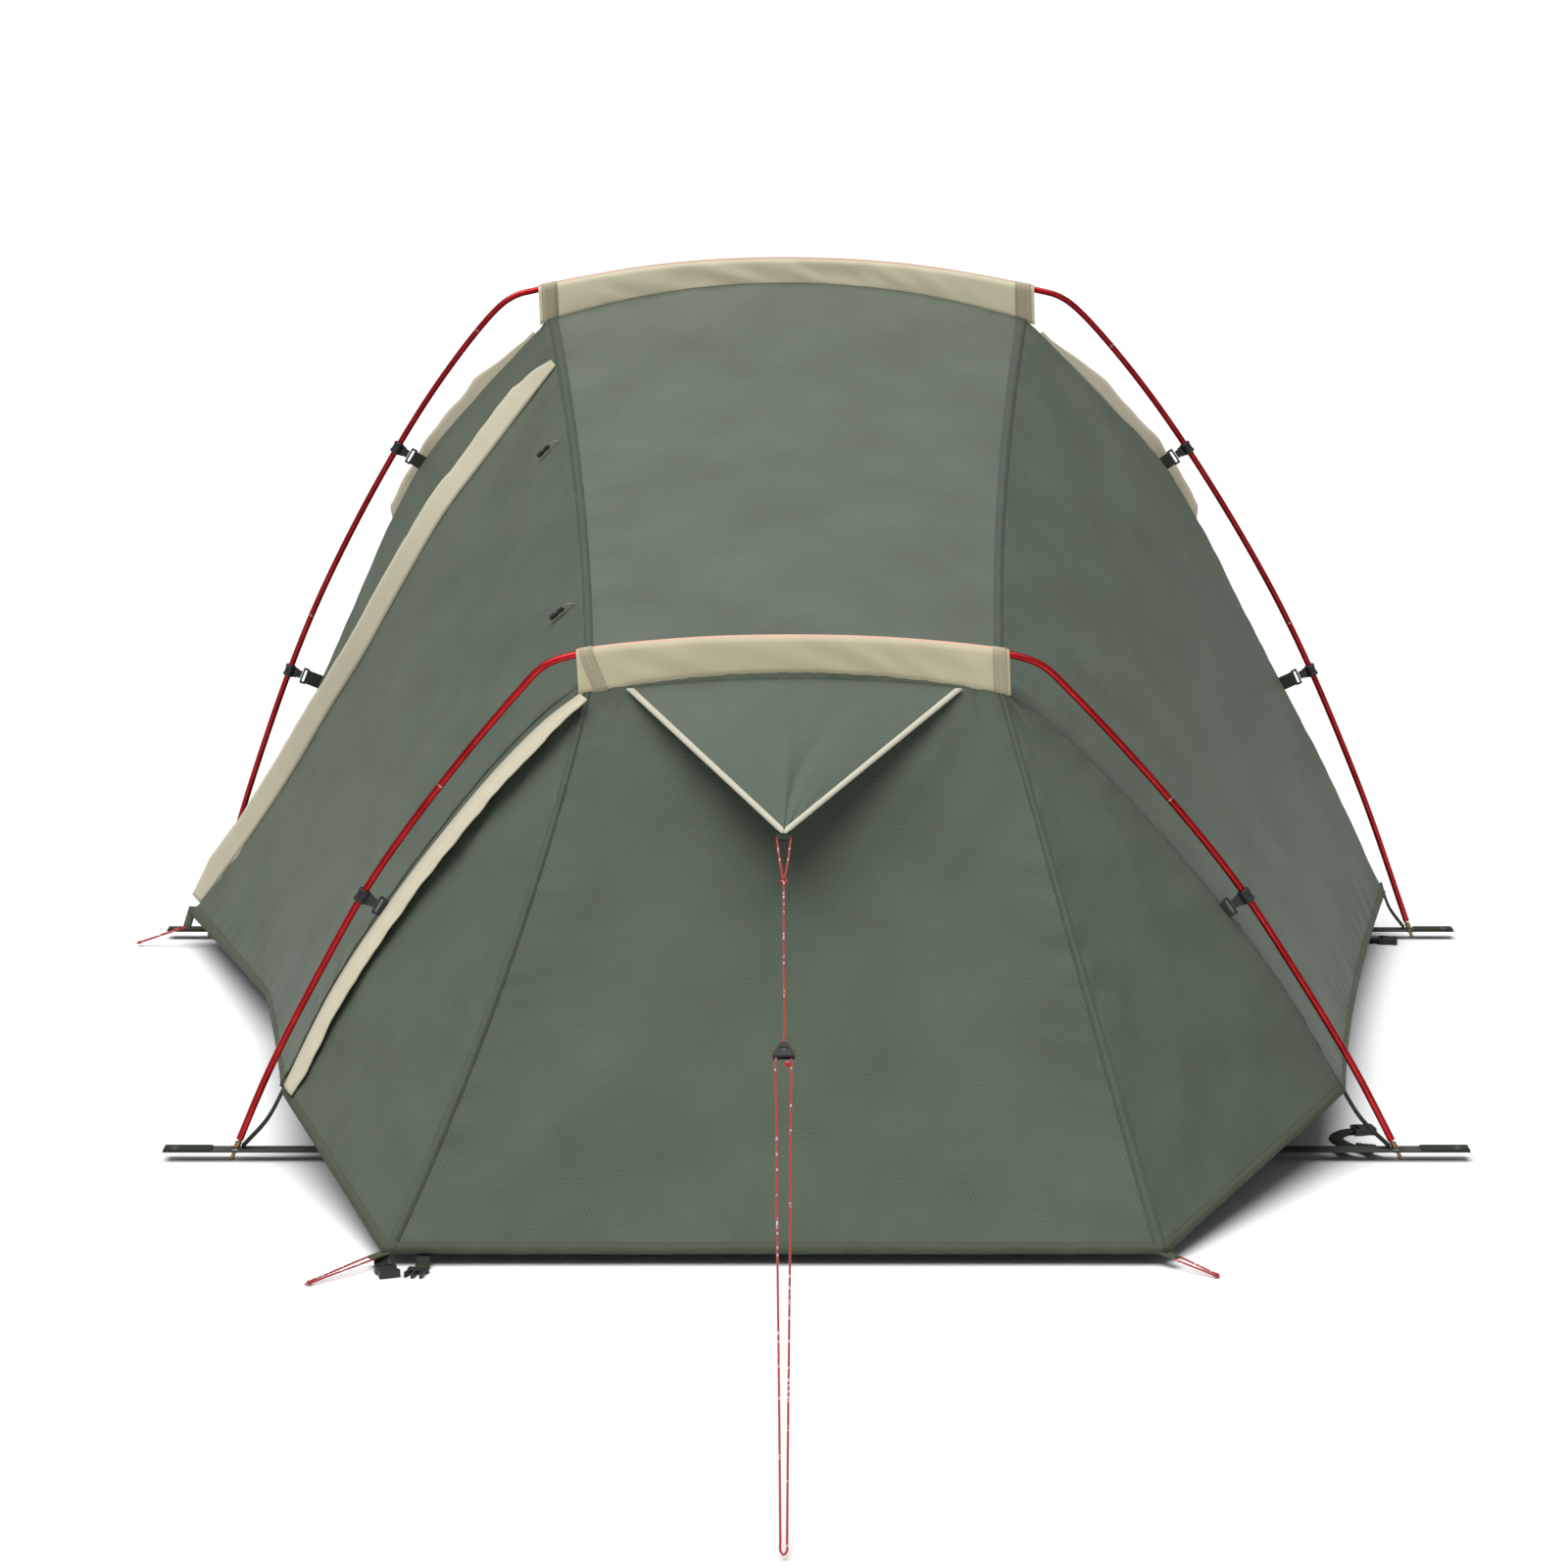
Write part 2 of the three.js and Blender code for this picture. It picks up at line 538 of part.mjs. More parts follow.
// Side-release buckle halves lying on the ground: at the front left corner and at the low right foot.
// Each is drawn from its webbing edge at y 0.
function socketShape() {
  const outline = rectangle(-13, 13, -30, 0);
  outline.holes.push(rectangle(-9, 9, -7, -3));
  return outline;
}
function prongShape() {
  const half = [[13, 0], [13, -8], [11, -8], [12, -22], [10, -28], [7, -22], [6, -11], [2, -11], [2, -28]];
  const other = half.map(([x, y]) => [-x, y]).reverse();
  const outline = new THREE.Shape([...half, ...other].map(([x, y]) => new THREE.Vector2(x, y)));
  outline.holes.push(rectangle(-9, 9, -5, -2));
  return outline;
}
function buildBuckle(name, shape, depth, x, y, turn) {
  const buckle = add(name, plate(shape, depth).translate(0, 0, depth / 2 + GAP), acetal);
  buckle.position.set(x, y, 0);
  buckle.rotation.z = turn;
}
buildBuckle("front_left_buckle_socket", socketShape(), 9, -524, -1467.4, 0.35);
buildBuckle("front_left_buckle_prong", prongShape(), 6, -481, -1470, -0.25);
buildBuckle("low_right_buckle_socket", socketShape(), 9, 724, -888, 1.75);
buildBuckle("low_right_buckle_prong", prongShape(), 6, 716, -962, 1.3);
buildBuckle("tall_right_buckle_socket", socketShape(), 9, 920, 196, 1.4);

for (const hoop of [TALL, LOW]) {
  buildPole(hoop);
  buildBaseStrap(hoop);
  buildSleeve(hoop);
  for (const [sideName, side] of Object.entries(SIDES)) {
    buildTip(hoop, side, sideName);
    for (const [hoopName, clipHoop, place, height] of CLIPS) {
      if (clipHoop === hoop) buildClip(`${hoopName}_${sideName}_${place}_clip`, hoop, side, height);
    }
  }
}

export default tent;
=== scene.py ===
# A two-hoop tunnel tent, dressed in the order it is made and pitched: cords, poles, webbing, fly sheets, zips and
# small hardware. Metres, +Z up, +Y to the tall end, on the frame that MuJoCo moves.
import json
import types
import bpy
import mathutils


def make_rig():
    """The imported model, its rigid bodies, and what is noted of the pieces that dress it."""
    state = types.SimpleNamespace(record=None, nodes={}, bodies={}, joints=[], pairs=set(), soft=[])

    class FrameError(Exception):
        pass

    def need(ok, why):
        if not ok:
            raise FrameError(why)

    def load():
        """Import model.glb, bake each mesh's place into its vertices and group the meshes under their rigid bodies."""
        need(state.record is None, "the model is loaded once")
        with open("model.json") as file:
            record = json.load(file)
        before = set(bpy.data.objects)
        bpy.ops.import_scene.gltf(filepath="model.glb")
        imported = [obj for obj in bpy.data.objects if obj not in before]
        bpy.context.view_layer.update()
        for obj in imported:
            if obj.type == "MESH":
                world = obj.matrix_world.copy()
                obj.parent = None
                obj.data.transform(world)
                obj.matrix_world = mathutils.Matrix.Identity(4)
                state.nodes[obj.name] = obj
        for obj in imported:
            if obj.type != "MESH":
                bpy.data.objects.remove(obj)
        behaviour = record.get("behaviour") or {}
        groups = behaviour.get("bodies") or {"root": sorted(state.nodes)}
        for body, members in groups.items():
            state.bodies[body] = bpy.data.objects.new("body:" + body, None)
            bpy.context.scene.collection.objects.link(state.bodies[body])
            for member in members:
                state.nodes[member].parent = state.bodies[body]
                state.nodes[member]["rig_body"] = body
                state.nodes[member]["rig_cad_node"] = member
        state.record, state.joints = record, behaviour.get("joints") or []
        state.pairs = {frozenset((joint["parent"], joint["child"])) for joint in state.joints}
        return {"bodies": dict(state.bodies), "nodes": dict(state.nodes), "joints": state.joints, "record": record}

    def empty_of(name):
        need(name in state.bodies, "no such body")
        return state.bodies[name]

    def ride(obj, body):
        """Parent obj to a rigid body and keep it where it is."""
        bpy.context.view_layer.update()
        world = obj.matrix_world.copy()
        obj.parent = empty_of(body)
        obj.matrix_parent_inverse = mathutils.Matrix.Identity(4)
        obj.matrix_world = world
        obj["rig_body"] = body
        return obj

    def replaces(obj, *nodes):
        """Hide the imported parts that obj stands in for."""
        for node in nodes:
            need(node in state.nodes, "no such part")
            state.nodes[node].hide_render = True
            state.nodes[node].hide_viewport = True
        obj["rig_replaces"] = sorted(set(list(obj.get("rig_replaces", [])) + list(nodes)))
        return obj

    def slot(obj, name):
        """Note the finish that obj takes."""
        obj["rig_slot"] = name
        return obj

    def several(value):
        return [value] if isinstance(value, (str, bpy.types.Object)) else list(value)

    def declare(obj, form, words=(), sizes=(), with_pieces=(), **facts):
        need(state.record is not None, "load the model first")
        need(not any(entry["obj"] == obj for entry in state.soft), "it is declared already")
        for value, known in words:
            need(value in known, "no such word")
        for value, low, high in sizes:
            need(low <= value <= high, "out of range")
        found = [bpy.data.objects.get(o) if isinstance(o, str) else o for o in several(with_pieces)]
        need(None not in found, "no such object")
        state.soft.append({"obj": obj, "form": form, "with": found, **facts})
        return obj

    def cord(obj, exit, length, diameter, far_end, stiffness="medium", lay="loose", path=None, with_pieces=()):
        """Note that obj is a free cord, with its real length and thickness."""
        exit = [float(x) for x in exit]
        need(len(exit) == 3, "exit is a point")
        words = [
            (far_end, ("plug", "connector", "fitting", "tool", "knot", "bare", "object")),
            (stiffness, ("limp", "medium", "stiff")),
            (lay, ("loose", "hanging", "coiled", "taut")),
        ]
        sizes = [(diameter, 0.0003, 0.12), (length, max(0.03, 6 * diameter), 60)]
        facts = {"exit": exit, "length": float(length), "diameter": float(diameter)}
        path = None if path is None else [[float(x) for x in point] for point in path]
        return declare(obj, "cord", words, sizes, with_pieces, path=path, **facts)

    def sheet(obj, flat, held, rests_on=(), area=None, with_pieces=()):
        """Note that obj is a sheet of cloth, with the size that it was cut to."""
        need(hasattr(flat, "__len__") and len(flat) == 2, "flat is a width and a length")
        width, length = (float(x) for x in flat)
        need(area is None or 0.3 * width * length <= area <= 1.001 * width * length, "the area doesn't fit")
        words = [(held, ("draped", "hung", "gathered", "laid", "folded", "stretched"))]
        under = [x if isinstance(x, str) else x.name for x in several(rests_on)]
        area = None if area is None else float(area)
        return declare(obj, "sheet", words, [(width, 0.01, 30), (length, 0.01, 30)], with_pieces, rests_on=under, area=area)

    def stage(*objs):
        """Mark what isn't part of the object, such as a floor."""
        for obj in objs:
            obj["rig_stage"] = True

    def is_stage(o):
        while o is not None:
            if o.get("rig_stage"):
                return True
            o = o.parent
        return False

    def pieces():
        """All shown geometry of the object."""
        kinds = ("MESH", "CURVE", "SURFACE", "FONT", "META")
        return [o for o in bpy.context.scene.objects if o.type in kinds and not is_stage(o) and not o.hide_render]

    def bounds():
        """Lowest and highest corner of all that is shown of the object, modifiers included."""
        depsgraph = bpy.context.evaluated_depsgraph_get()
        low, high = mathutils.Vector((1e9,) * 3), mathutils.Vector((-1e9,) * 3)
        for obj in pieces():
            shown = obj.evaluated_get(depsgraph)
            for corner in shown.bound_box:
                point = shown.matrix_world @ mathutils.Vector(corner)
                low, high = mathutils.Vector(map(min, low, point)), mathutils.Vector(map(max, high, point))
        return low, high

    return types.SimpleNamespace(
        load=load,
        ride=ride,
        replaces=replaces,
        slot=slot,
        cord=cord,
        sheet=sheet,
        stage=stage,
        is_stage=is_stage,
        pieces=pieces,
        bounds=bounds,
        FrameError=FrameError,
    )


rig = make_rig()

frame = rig.load()

import json
import math
from types import SimpleNamespace

import bmesh
import bpy
import numpy as np
from mathutils import Matrix, Vector, noise

cad_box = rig.bounds()
scene = bpy.context.scene


# ---- Camera ----
# A 90 mm lens on a 36 mm frame, about 6 m in front of the low end at chest height, pointed 11 degrees down at
# the middle of the tent.
camera_data = bpy.data.cameras.new("camera")
camera_data.lens = 90
camera_data.sensor_width = 36
camera = bpy.data.objects.new("camera", camera_data)
camera.location = (-0.0427, -5.976, 1.507)
camera.rotation_euler = (math.radians(78.6), 0, 0)
scene.collection.objects.link(camera)
scene.camera = camera
scene.view_settings.view_transform = "Standard"


# ---- Guyline ----
# 2.5 mm braided polyester cord, red with reflective white flecks. It leaves the hood's tab in two legs, is
# knotted, runs down to its peg, turns round it and comes back up to the slider.
def linear(code):
    channels = [int(code[k:k + 2], 16) / 255 for k in (1, 3, 5)]
    return [c / 12.92 if c <= 0.04045 else ((c + 0.055) / 1.055) ** 2.4 for c in channels] + [1]


def add(tree, kind, sockets=(), **settings):
    """A node, with its settings, and numbers or links on its sockets."""
    node = tree.nodes.new("ShaderNode" + kind)
    for name, value in settings.items():
        setattr(node, name, value)
    for socket, value in dict(sockets).items():
        if isinstance(value, bpy.types.NodeSocket):
            tree.links.new(value, node.inputs[socket])
        else:
            node.inputs[socket].default_value = value
    return node.outputs


def start_material(name, **sockets):
    material = bpy.data.materials.new(name)
    material.use_nodes = True
    shader = material.node_tree.nodes["Principled BSDF"]
    for socket, value in sockets.items():
        shader.inputs[socket.replace("_", " ")].default_value = value
    return material, material.node_tree, shader


def smooth(points):
    """A soft line through points: a function from shares of its length to places on it."""
    knots = np.array(points, float)
    knots = np.vstack([2 * knots[0] - knots[1], knots, 2 * knots[-1] - knots[-2]])
    line = []
    for a, b, c, d in zip(knots, knots[1:], knots[2:], knots[3:]):
        ab, bc, cd = (np.linalg.norm(q - p) ** 0.5 for p, q in ((a, b), (b, c), (c, d)))
        leave = bc * ((b - a) / ab - (c - a) / (ab + bc) + (c - b) / bc)
        arrive = bc * ((c - b) / bc - (d - b) / (bc + cd) + (d - c) / cd)
        t = np.linspace(0, 1, 32, endpoint=False)[:, None]
        line.append((2 * t**3 - 3 * t**2 + 1) * b + (t**3 - 2 * t**2 + t) * leave
                    + (3 * t**2 - 2 * t**3) * c + (t**3 - t**2) * arrive)
    line = np.vstack([*line, knots[-2]])
    run = np.concatenate([[0], np.cumsum(np.linalg.norm(np.diff(line, axis=0), axis=1))])

    def at(share):
        reach = np.clip(share, 0, 1) * run[-1]
        return np.stack([np.interp(reach, run, line[:, k]) for k in range(3)], axis=-1)

    at.length = run[-1]
    return at


def finish_piece(name, data, material, body, slot):
    data.materials.clear()
    data.materials.append(material)
    data.shade_smooth()
    piece = bpy.data.objects.new(name, data)
    scene.collection.objects.link(piece)
    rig.ride(piece, body)
    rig.slot(piece, slot)
    return piece


def round_rod(name, places, radius, material, body, slot, closed=False):
    """A round rod or cord swept along places, its UV map in metres: along it, and round it."""
    curve = bpy.data.curves.new(name, "CURVE")
    curve.dimensions = "3D"
    curve.bevel_depth = radius
    curve.bevel_resolution = 2
    curve.use_fill_caps = not closed
    spline = curve.splines.new("POLY")
    spline.points.add(len(places) - 1)
    spline.use_cyclic_u = closed
    for point, place in zip(spline.points, places):
        point.co = (*place, 1)
    carrier = bpy.data.objects.new(name, curve)
    scene.collection.objects.link(carrier)
    bpy.context.view_layer.update()
    depsgraph = bpy.context.evaluated_depsgraph_get()
    data = bpy.data.meshes.new_from_object(carrier.evaluated_get(depsgraph))
    bpy.data.objects.remove(carrier)
    bpy.data.curves.remove(curve)
    sides = 12
    step = float(np.linalg.norm(np.diff(places, axis=0), axis=1).mean())
    uv = data.uv_layers[0] if data.uv_layers else data.uv_layers.new(name="UVMap")
    for face in data.polygons:
        turns = [data.loops[k].vertex_index % sides for k in face.loop_indices]
        wraps = len(turns) == 4 and max(turns) - min(turns) == sides - 1
        for k, turn in zip(face.loop_indices, turns):
            ring = data.loops[k].vertex_index // sides
            turn = sides if wraps and turn == 0 else turn
            uv.data[k].uv = (ring * step, turn / sides * 2 * math.pi * radius)
    return finish_piece(name, data, material, body, slot)


def braided(name, colour, fleck, share):
    """Braided sheath: small diamonds where the strands cross, some of them of another colour."""
    material, tree, shader = start_material(name, Roughness=0.62, Sheen_Weight=0.2)
    place = add(tree, "UVMap")[0]
    # Strands cross every 1.3 mm on the real cord; drawn at 2.4 mm, so that they show.
    cells = add(tree, "VectorMath", {0: place, 1: (0.0048, 0.0020, 1)}, operation="SNAP")[0]
    chance = add(tree, "TexWhiteNoise", {"Vector": cells})["Value"]
    marked = add(tree, "Math", {0: chance, 1: 1 - share}, operation="GREATER_THAN")[0]
    turned = add(tree, "Mapping", {"Vector": place, "Rotation": (0, 0, math.radians(45))})[0]
    strands = add(tree, "TexChecker", {"Vector": turned, "Scale": 420})["Fac"]
    mottle = add(tree, "TexNoise", {"Vector": place, "Scale": 260, "Detail": 2})["Fac"]
    value = add(tree, "MapRange", {"Value": mottle, "To Min": 0.8, "To Max": 1.2})[0]
    mixed = add(tree, "Mix", {0: marked, 6: linear(colour), 7: linear(fleck)}, data_type="RGBA")[2]
    toned = add(tree, "HueSaturation", {"Value": value, "Color": mixed})[0]
    bump = add(tree, "Bump", {"Height": strands, "Strength": 0.5, "Distance": 0.0003})[0]
    tree.links.new(toned, shader.inputs["Base Color"])
    tree.links.new(bump, shader.inputs["Normal"])
    return material


# Two shades of red with pale flecks, which read as a fine twist from afar.
guy_cord = braided("braided polyester guyline", "#ab151d", "#e2c4bd", 0.07)
CORD_RADIUS = 0.00125


def unit(vector):
    return np.array(vector, float) / np.linalg.norm(vector)


hood_point = np.array([-0.043, -1.206, 0.479])
guy_end = np.array([-0.043, -2.366, 0.0035])
guy_length = float(np.linalg.norm(guy_end - hood_point))
guy_down = unit(guy_end - hood_point)
guy_side = np.array([1.0, 0, 0])


def on_guy(x, along, up=0.0):
    """A place by the guyline: x to its right, along it from the hood's point, and up from it."""
    return hood_point + guy_side * x + guy_down * along + np.cross(guy_side, guy_down) * up


KNOT = 0.098  # how far down the line its two legs are tied together
guy_route = [(-0.0088, 0.004), (-0.0052, 0.05), (-0.0012, 0.090), (0, KNOT), (0, 0.115), (0, 0.260), (0, 0.415),
             (-0.003, 0.428), (-0.00875, 0.450), (-0.008, 0.560), (-0.007, 0.760), (-0.0053, 0.960), (-0.004, 1.120),
             (-0.0033, 1.225), (-0.003, 1.241), (0, guy_length - 0.008), (0.003, 1.241), (0.0033, 1.225),
             (0.004, 1.120), (0.0053, 0.960), (0.007, 0.760), (0.008, 0.560), (0.00875, 0.452)]


def lay_cord(name, points, far_end, with_pieces):
    line = smooth(points)
    count = max(12, round(line.length / 0.004))
    places = line(np.linspace(0, 1, count + 1))
    cord = round_rod(name, places, CORD_RADIUS, guy_cord, "tent", "cord")
    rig.cord(cord, exit=places[0], length=round(line.length, 3), diameter=2 * CORD_RADIUS, far_end=far_end,
            stiffness="limp", lay="taut", path=places, with_pieces=with_pieces)
    return cord


def tie_knot(name, centre, along, size):
    """An overhand knot pulled tight: a trefoil of the cord, drawn out along the line."""
    turns = np.linspace(0, 2 * math.pi, 48, endpoint=False)
    loop = np.stack([np.sin(turns) + 2 * np.sin(2 * turns), np.cos(turns) - 2 * np.cos(2 * turns),
                     -1.3 * np.sin(3 * turns)], axis=1) * size / 3
    axes = Vector(along).normalized().to_track_quat("X", "Z").to_matrix()
    places = [centre + np.array(axes @ Vector(p)) for p in loop]
    return round_rod(name, places, CORD_RADIUS, guy_cord, "tent", "cord", closed=True)


guy_knot = tie_knot("guyline_knot", on_guy(0, KNOT), guy_down, 0.0050)
tie_knot("guyline_tail_knot", on_guy(0.0045, 0.462), guy_down, 0.0034)
guyline = lay_cord("guyline_cord", [on_guy(*p) for p in guy_route], "fitting", ["guy_slider"])
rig.replaces(guyline, "guyline")
leg_route = [(0.0088, 0.004), (0.0055, 0.05), (0.0016, 0.088), (0.001, 0.096)]
lay_cord("guyline_leg", [on_guy(*p) for p in leg_route], "knot", [guy_knot])


# ---- Peg loops ----
# Three loops of the same cord. Each runs through a pegging tab in the hem and is drawn out along the ground to a
# knot, where a peg holds it.
PEG_LOOPS = {
    "rear_left": ((-1.004, 0.170, 0.034), (-1.088, 0.176, 0.004)),
    "front_left": ((-0.540, -1.456, 0.013), (-0.612, -1.525, 0.003)),
    "front_right": ((0.430, -1.456, 0.013), (0.478, -1.496, 0.003)),
}
LOOP_SHAPE = [(0, 0.006), (0.3, 0.005), (0.7, 0.003), (0.94, 0.0022), (1, 0), (0.94, -0.0022), (0.7, -0.003),
              (0.3, -0.005), (0, -0.006)]
KNOT_SHARE = 0.93
for corner, (tab, knot) in PEG_LOOPS.items():
    start, end = np.array(tab), np.array(knot)
    across = unit(np.cross((0, 0, 1), end - start))
    route = [start + (end - start) * t + across * side for t, side in LOOP_SHAPE]
    knot_piece = tie_knot(f"{corner}_peg_knot", start + (end - start) * KNOT_SHARE, unit(end - start), 0.0026)
    loop = lay_cord(f"{corner}_peg_cord", route, "object", [knot_piece])
    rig.replaces(loop, f"{corner}_peg_loop")


# ---- Poles ----
# Two hoops of 9.5 mm aluminium tube, anodised red, in sections that push together on ferrules. The elbows at
# the shoulders are bent cold, and a bright line shows where two sections meet.

# Deep red with a satin shine, a little cloudy along the draw.
anodised, tree, shader = start_material("anodised aluminium", Metallic=0.82, Roughness=0.3)
place = add(tree, "TexCoord")["Object"]
drawn = add(tree, "TexNoise", {"Vector": place, "Scale": 35, "Detail": 4})["Fac"]
tone = add(tree, "ValToRGB", {"Fac": drawn})
ramp = tone[0].node.color_ramp
ramp.elements[0].position, ramp.elements[0].color = 0.3, linear("#a8141c")
ramp.elements[1].position, ramp.elements[1].color = 0.7, linear("#c92a30")
tree.links.new(tone[0], shader.inputs["Base Color"])
scuffs = add(tree, "TexNoise", {"Vector": place, "Scale": 900, "Detail": 3})["Fac"]
gloss = add(tree, "MapRange", {"Value": scuffs, "To Min": 0.24, "To Max": 0.42})[0]
tree.links.new(gloss, shader.inputs["Roughness"])
rub = add(tree, "Bump", {"Height": scuffs, "Strength": 0.08, "Distance": 0.0001})[0]
tree.links.new(rub, shader.inputs["Normal"])


def grained(name, colour, tones, scale, detail=3, satin=None, relief=None, stretch=None, **sockets):
    """One colour toned by a fine grain, which may also spread its gloss between two values, stand up by a
    strength and a height, or be drawn out along the piece."""
    material, tree, shader = start_material(name, **sockets)
    place = add(tree, "TexCoord")["Object"]
    if stretch:
        place = add(tree, "Mapping", {"Vector": place, "Scale": stretch})[0]
    grain = add(tree, "TexNoise", {"Vector": place, "Scale": scale, "Detail": detail})["Fac"]
    tone = add(tree, "MapRange", {"Value": grain, "To Min": tones[0], "To Max": tones[1]})[0]
    toned = add(tree, "HueSaturation", {"Value": tone, "Color": linear(colour)})[0]
    tree.links.new(toned, shader.inputs["Base Color"])
    if satin:
        gloss = add(tree, "MapRange", {"Value": grain, "To Min": satin[0], "To Max": satin[1]})[0]
        tree.links.new(gloss, shader.inputs["Roughness"])
    if relief:
        bump = add(tree, "Bump", {"Height": grain, "Strength": relief[0], "Distance": relief[1]})[0]
        tree.links.new(bump, shader.inputs["Normal"])
    return material


# Bare metal where sections meet: a bright hairline on the red.
bare_metal = grained("bare drawn aluminium", "#c9b9b4", (0.85, 1.1), 700, Metallic=1.0, Roughness=0.34)

POLE_RADIUS = 0.00475
TIP_LENGTH = 0.030
# For each hoop: its place along the tent and its lean, then as (distance from the middle, height) the pole's line
# and the line down each side that the cloth is cut to, and the roof's half width, edge and crown between them.
tall = SimpleNamespace(
    name="tall", y=0.230, sway=-0.0373, sections=6, strap=1.045, sleeve=0.390,
    pole=[(0.980, 0), (0.890, 0.267), (0.762, 0.566), (0.582, 0.867), (0.457, 1.020), (0.428, 1.040),
          (0.395, 1.049), (0.200, 1.083), (0, 1.094)],
    half=0.375, edge=1.004, crown=1.062,
    wall=[(0.375, 1.004), (0.504, 0.872), (0.581, 0.786), (0.640, 0.690), (0.728, 0.512), (0.829, 0.310),
          (0.936, 0.077)])
low = SimpleNamespace(
    name="low", y=-1.007, sway=-0.0464, sections=4, strap=0.860, sleeve=0.278,
    pole=[(0.7715, 0), (0.711, 0.125), (0.633, 0.262), (0.562, 0.376), (0.470, 0.496), (0.356, 0.626),
          (0.322, 0.659), (0.290, 0.672), (0.150, 0.689), (0, 0.694)],
    half=0.268, edge=0.628, crown=0.656,
    wall=[(0.268, 0.628), (0.320, 0.590), (0.385, 0.528), (0.448, 0.458), (0.530, 0.358), (0.620, 0.232),
          (0.698, 0.092)])
HANDS = {"left": -1, "right": 1}


def on_hoop(hoop, side, x, z):
    return np.array([side * x + hoop.sway * z, hoop.y, z])


def turned(name, outline, matrix, material, body, slot, steps=32):
    """An outline of (radius, height) pairs spun once round and put in place."""
    mesh = bmesh.new()
    verts = [mesh.verts.new((max(r, 0.0), 0, z)) for r, z in outline]
    edges = [mesh.edges.new(pair) for pair in zip(verts, verts[1:])]
    bmesh.ops.spin(mesh, geom=verts + edges, axis=(0, 0, 1), cent=(0, 0, 0), angle=2 * math.pi, steps=steps,
                   use_merge=True)
    bmesh.ops.remove_doubles(mesh, verts=mesh.verts, dist=1e-6)
    bmesh.ops.recalc_face_normals(mesh, faces=mesh.faces)
    for edge in mesh.edges:
        edge.smooth = len(edge.link_faces) != 2 or edge.calc_face_angle(0) < 0.6
    mesh.transform(matrix)
    data = bpy.data.meshes.new(name)
    mesh.to_mesh(data)
    return finish_piece(name, data, material, body, slot)


def frame_at(point, axis):
    """A matrix whose Z runs along axis and whose Y is as near the tent's own as it can be."""
    z = Vector(axis).normalized()
    x = Vector((0, 1, 0)).cross(z).normalized()
    y = z.cross(x)
    return Matrix.Translation(Vector(point)) @ Matrix((x, y, z)).transposed().to_4x4()


JOINT_GAP = 0.0003
line_edge, line_low = POLE_RADIUS + 0.00012, POLE_RADIUS - 0.0003
FERRULE_LINE = [(line_low, -0.0011), (line_edge, -0.0009), (line_edge, 0.0009), (line_low, 0.0011)]
for hoop in (tall, low):
    left = [on_hoop(hoop, -1, x, z) for x, z in hoop.pole]
    right = [on_hoop(hoop, 1, x, z) for x, z in hoop.pole[:-1]]
    hoop.line = smooth(left + right[::-1])
    start = TIP_LENGTH / hoop.line.length
    share = (1 - 2 * start) / hoop.sections
    gap = JOINT_GAP / hoop.line.length
    for k in range(hoop.sections):
        begin = start + k * share + gap / 2
        places = hoop.line(np.linspace(begin, begin + share - gap, 72))
        section = round_rod(f"{hoop.name}_pole_tube_{k + 1}", places, POLE_RADIUS, anodised, "tent", "anodised_pole")
        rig.replaces(section, f"{hoop.name}_pole_section_{k + 1}")
        if k > 0:
            middle, ahead = hoop.line(start + k * share), hoop.line(start + k * share + 0.002)
            turned(f"{hoop.name}_ferrule_line_{k}", FERRULE_LINE, frame_at(middle, ahead - middle), bare_metal,
                   "tent", "anodised_pole")


# ---- Pole tips ----
# Turned brass-coloured tips, one pressed into each end of each hoop. The shoulder stops against the tube, and the
# shank stands in the base strap's grommet.

# Brass off the lathe: warm and bright, with fine tool marks.
brass = grained("turned brass", "#a78d5c", (0.75, 1.15), 1200, detail=2, relief=(0.2, 0.0001), Metallic=1.0,
                Roughness=0.35)
SHANK, SHOULDER = 0.00275, 0.00435
NECK_LENGTH = 0.007
GROUND_GAP = 0.001  # the height at which the pole's line gives the tip's place


def pole_at(hoop, side, height):
    """Where the pole crosses a height near one foot, and its direction there, upwards."""
    shares = np.linspace(0, 0.45, 4000) if side < 0 else np.linspace(1, 0.55, 4000)
    heights = hoop.line(shares)[:, 2]
    share = np.interp(height, heights, shares)
    ahead = hoop.line(share - side * 1e-3) - hoop.line(share + side * 1e-3)
    return hoop.line(share), unit(ahead)


for hoop in (tall, low):
    for hand, side in HANDS.items():
        point, rise = pole_at(hoop, side, GROUND_GAP)
        lean = rise[0] / rise[2]
        top = TIP_LENGTH * rise[2] - 0.0026
        neck = top - NECK_LENGTH
        outline = [(0, 0), (0.0020, 0), (SHANK, 0.0008), (SHANK, neck), (0.0040, neck), (SHOULDER, neck + 0.0004),
                   (SHOULDER, top), (0, top)]
        shear = Matrix(((1, 0, lean, point[0] - lean * GROUND_GAP), (0, 1, 0, hoop.y), (0, 0, 1, 0), (0, 0, 0, 1)))
        tip = turned(f"{hoop.name}_{hand}_brass_tip", outline, shear, brass, "tent", "tip_brass")
        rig.replaces(tip, f"{hoop.name}_{hand}_pole_tip")


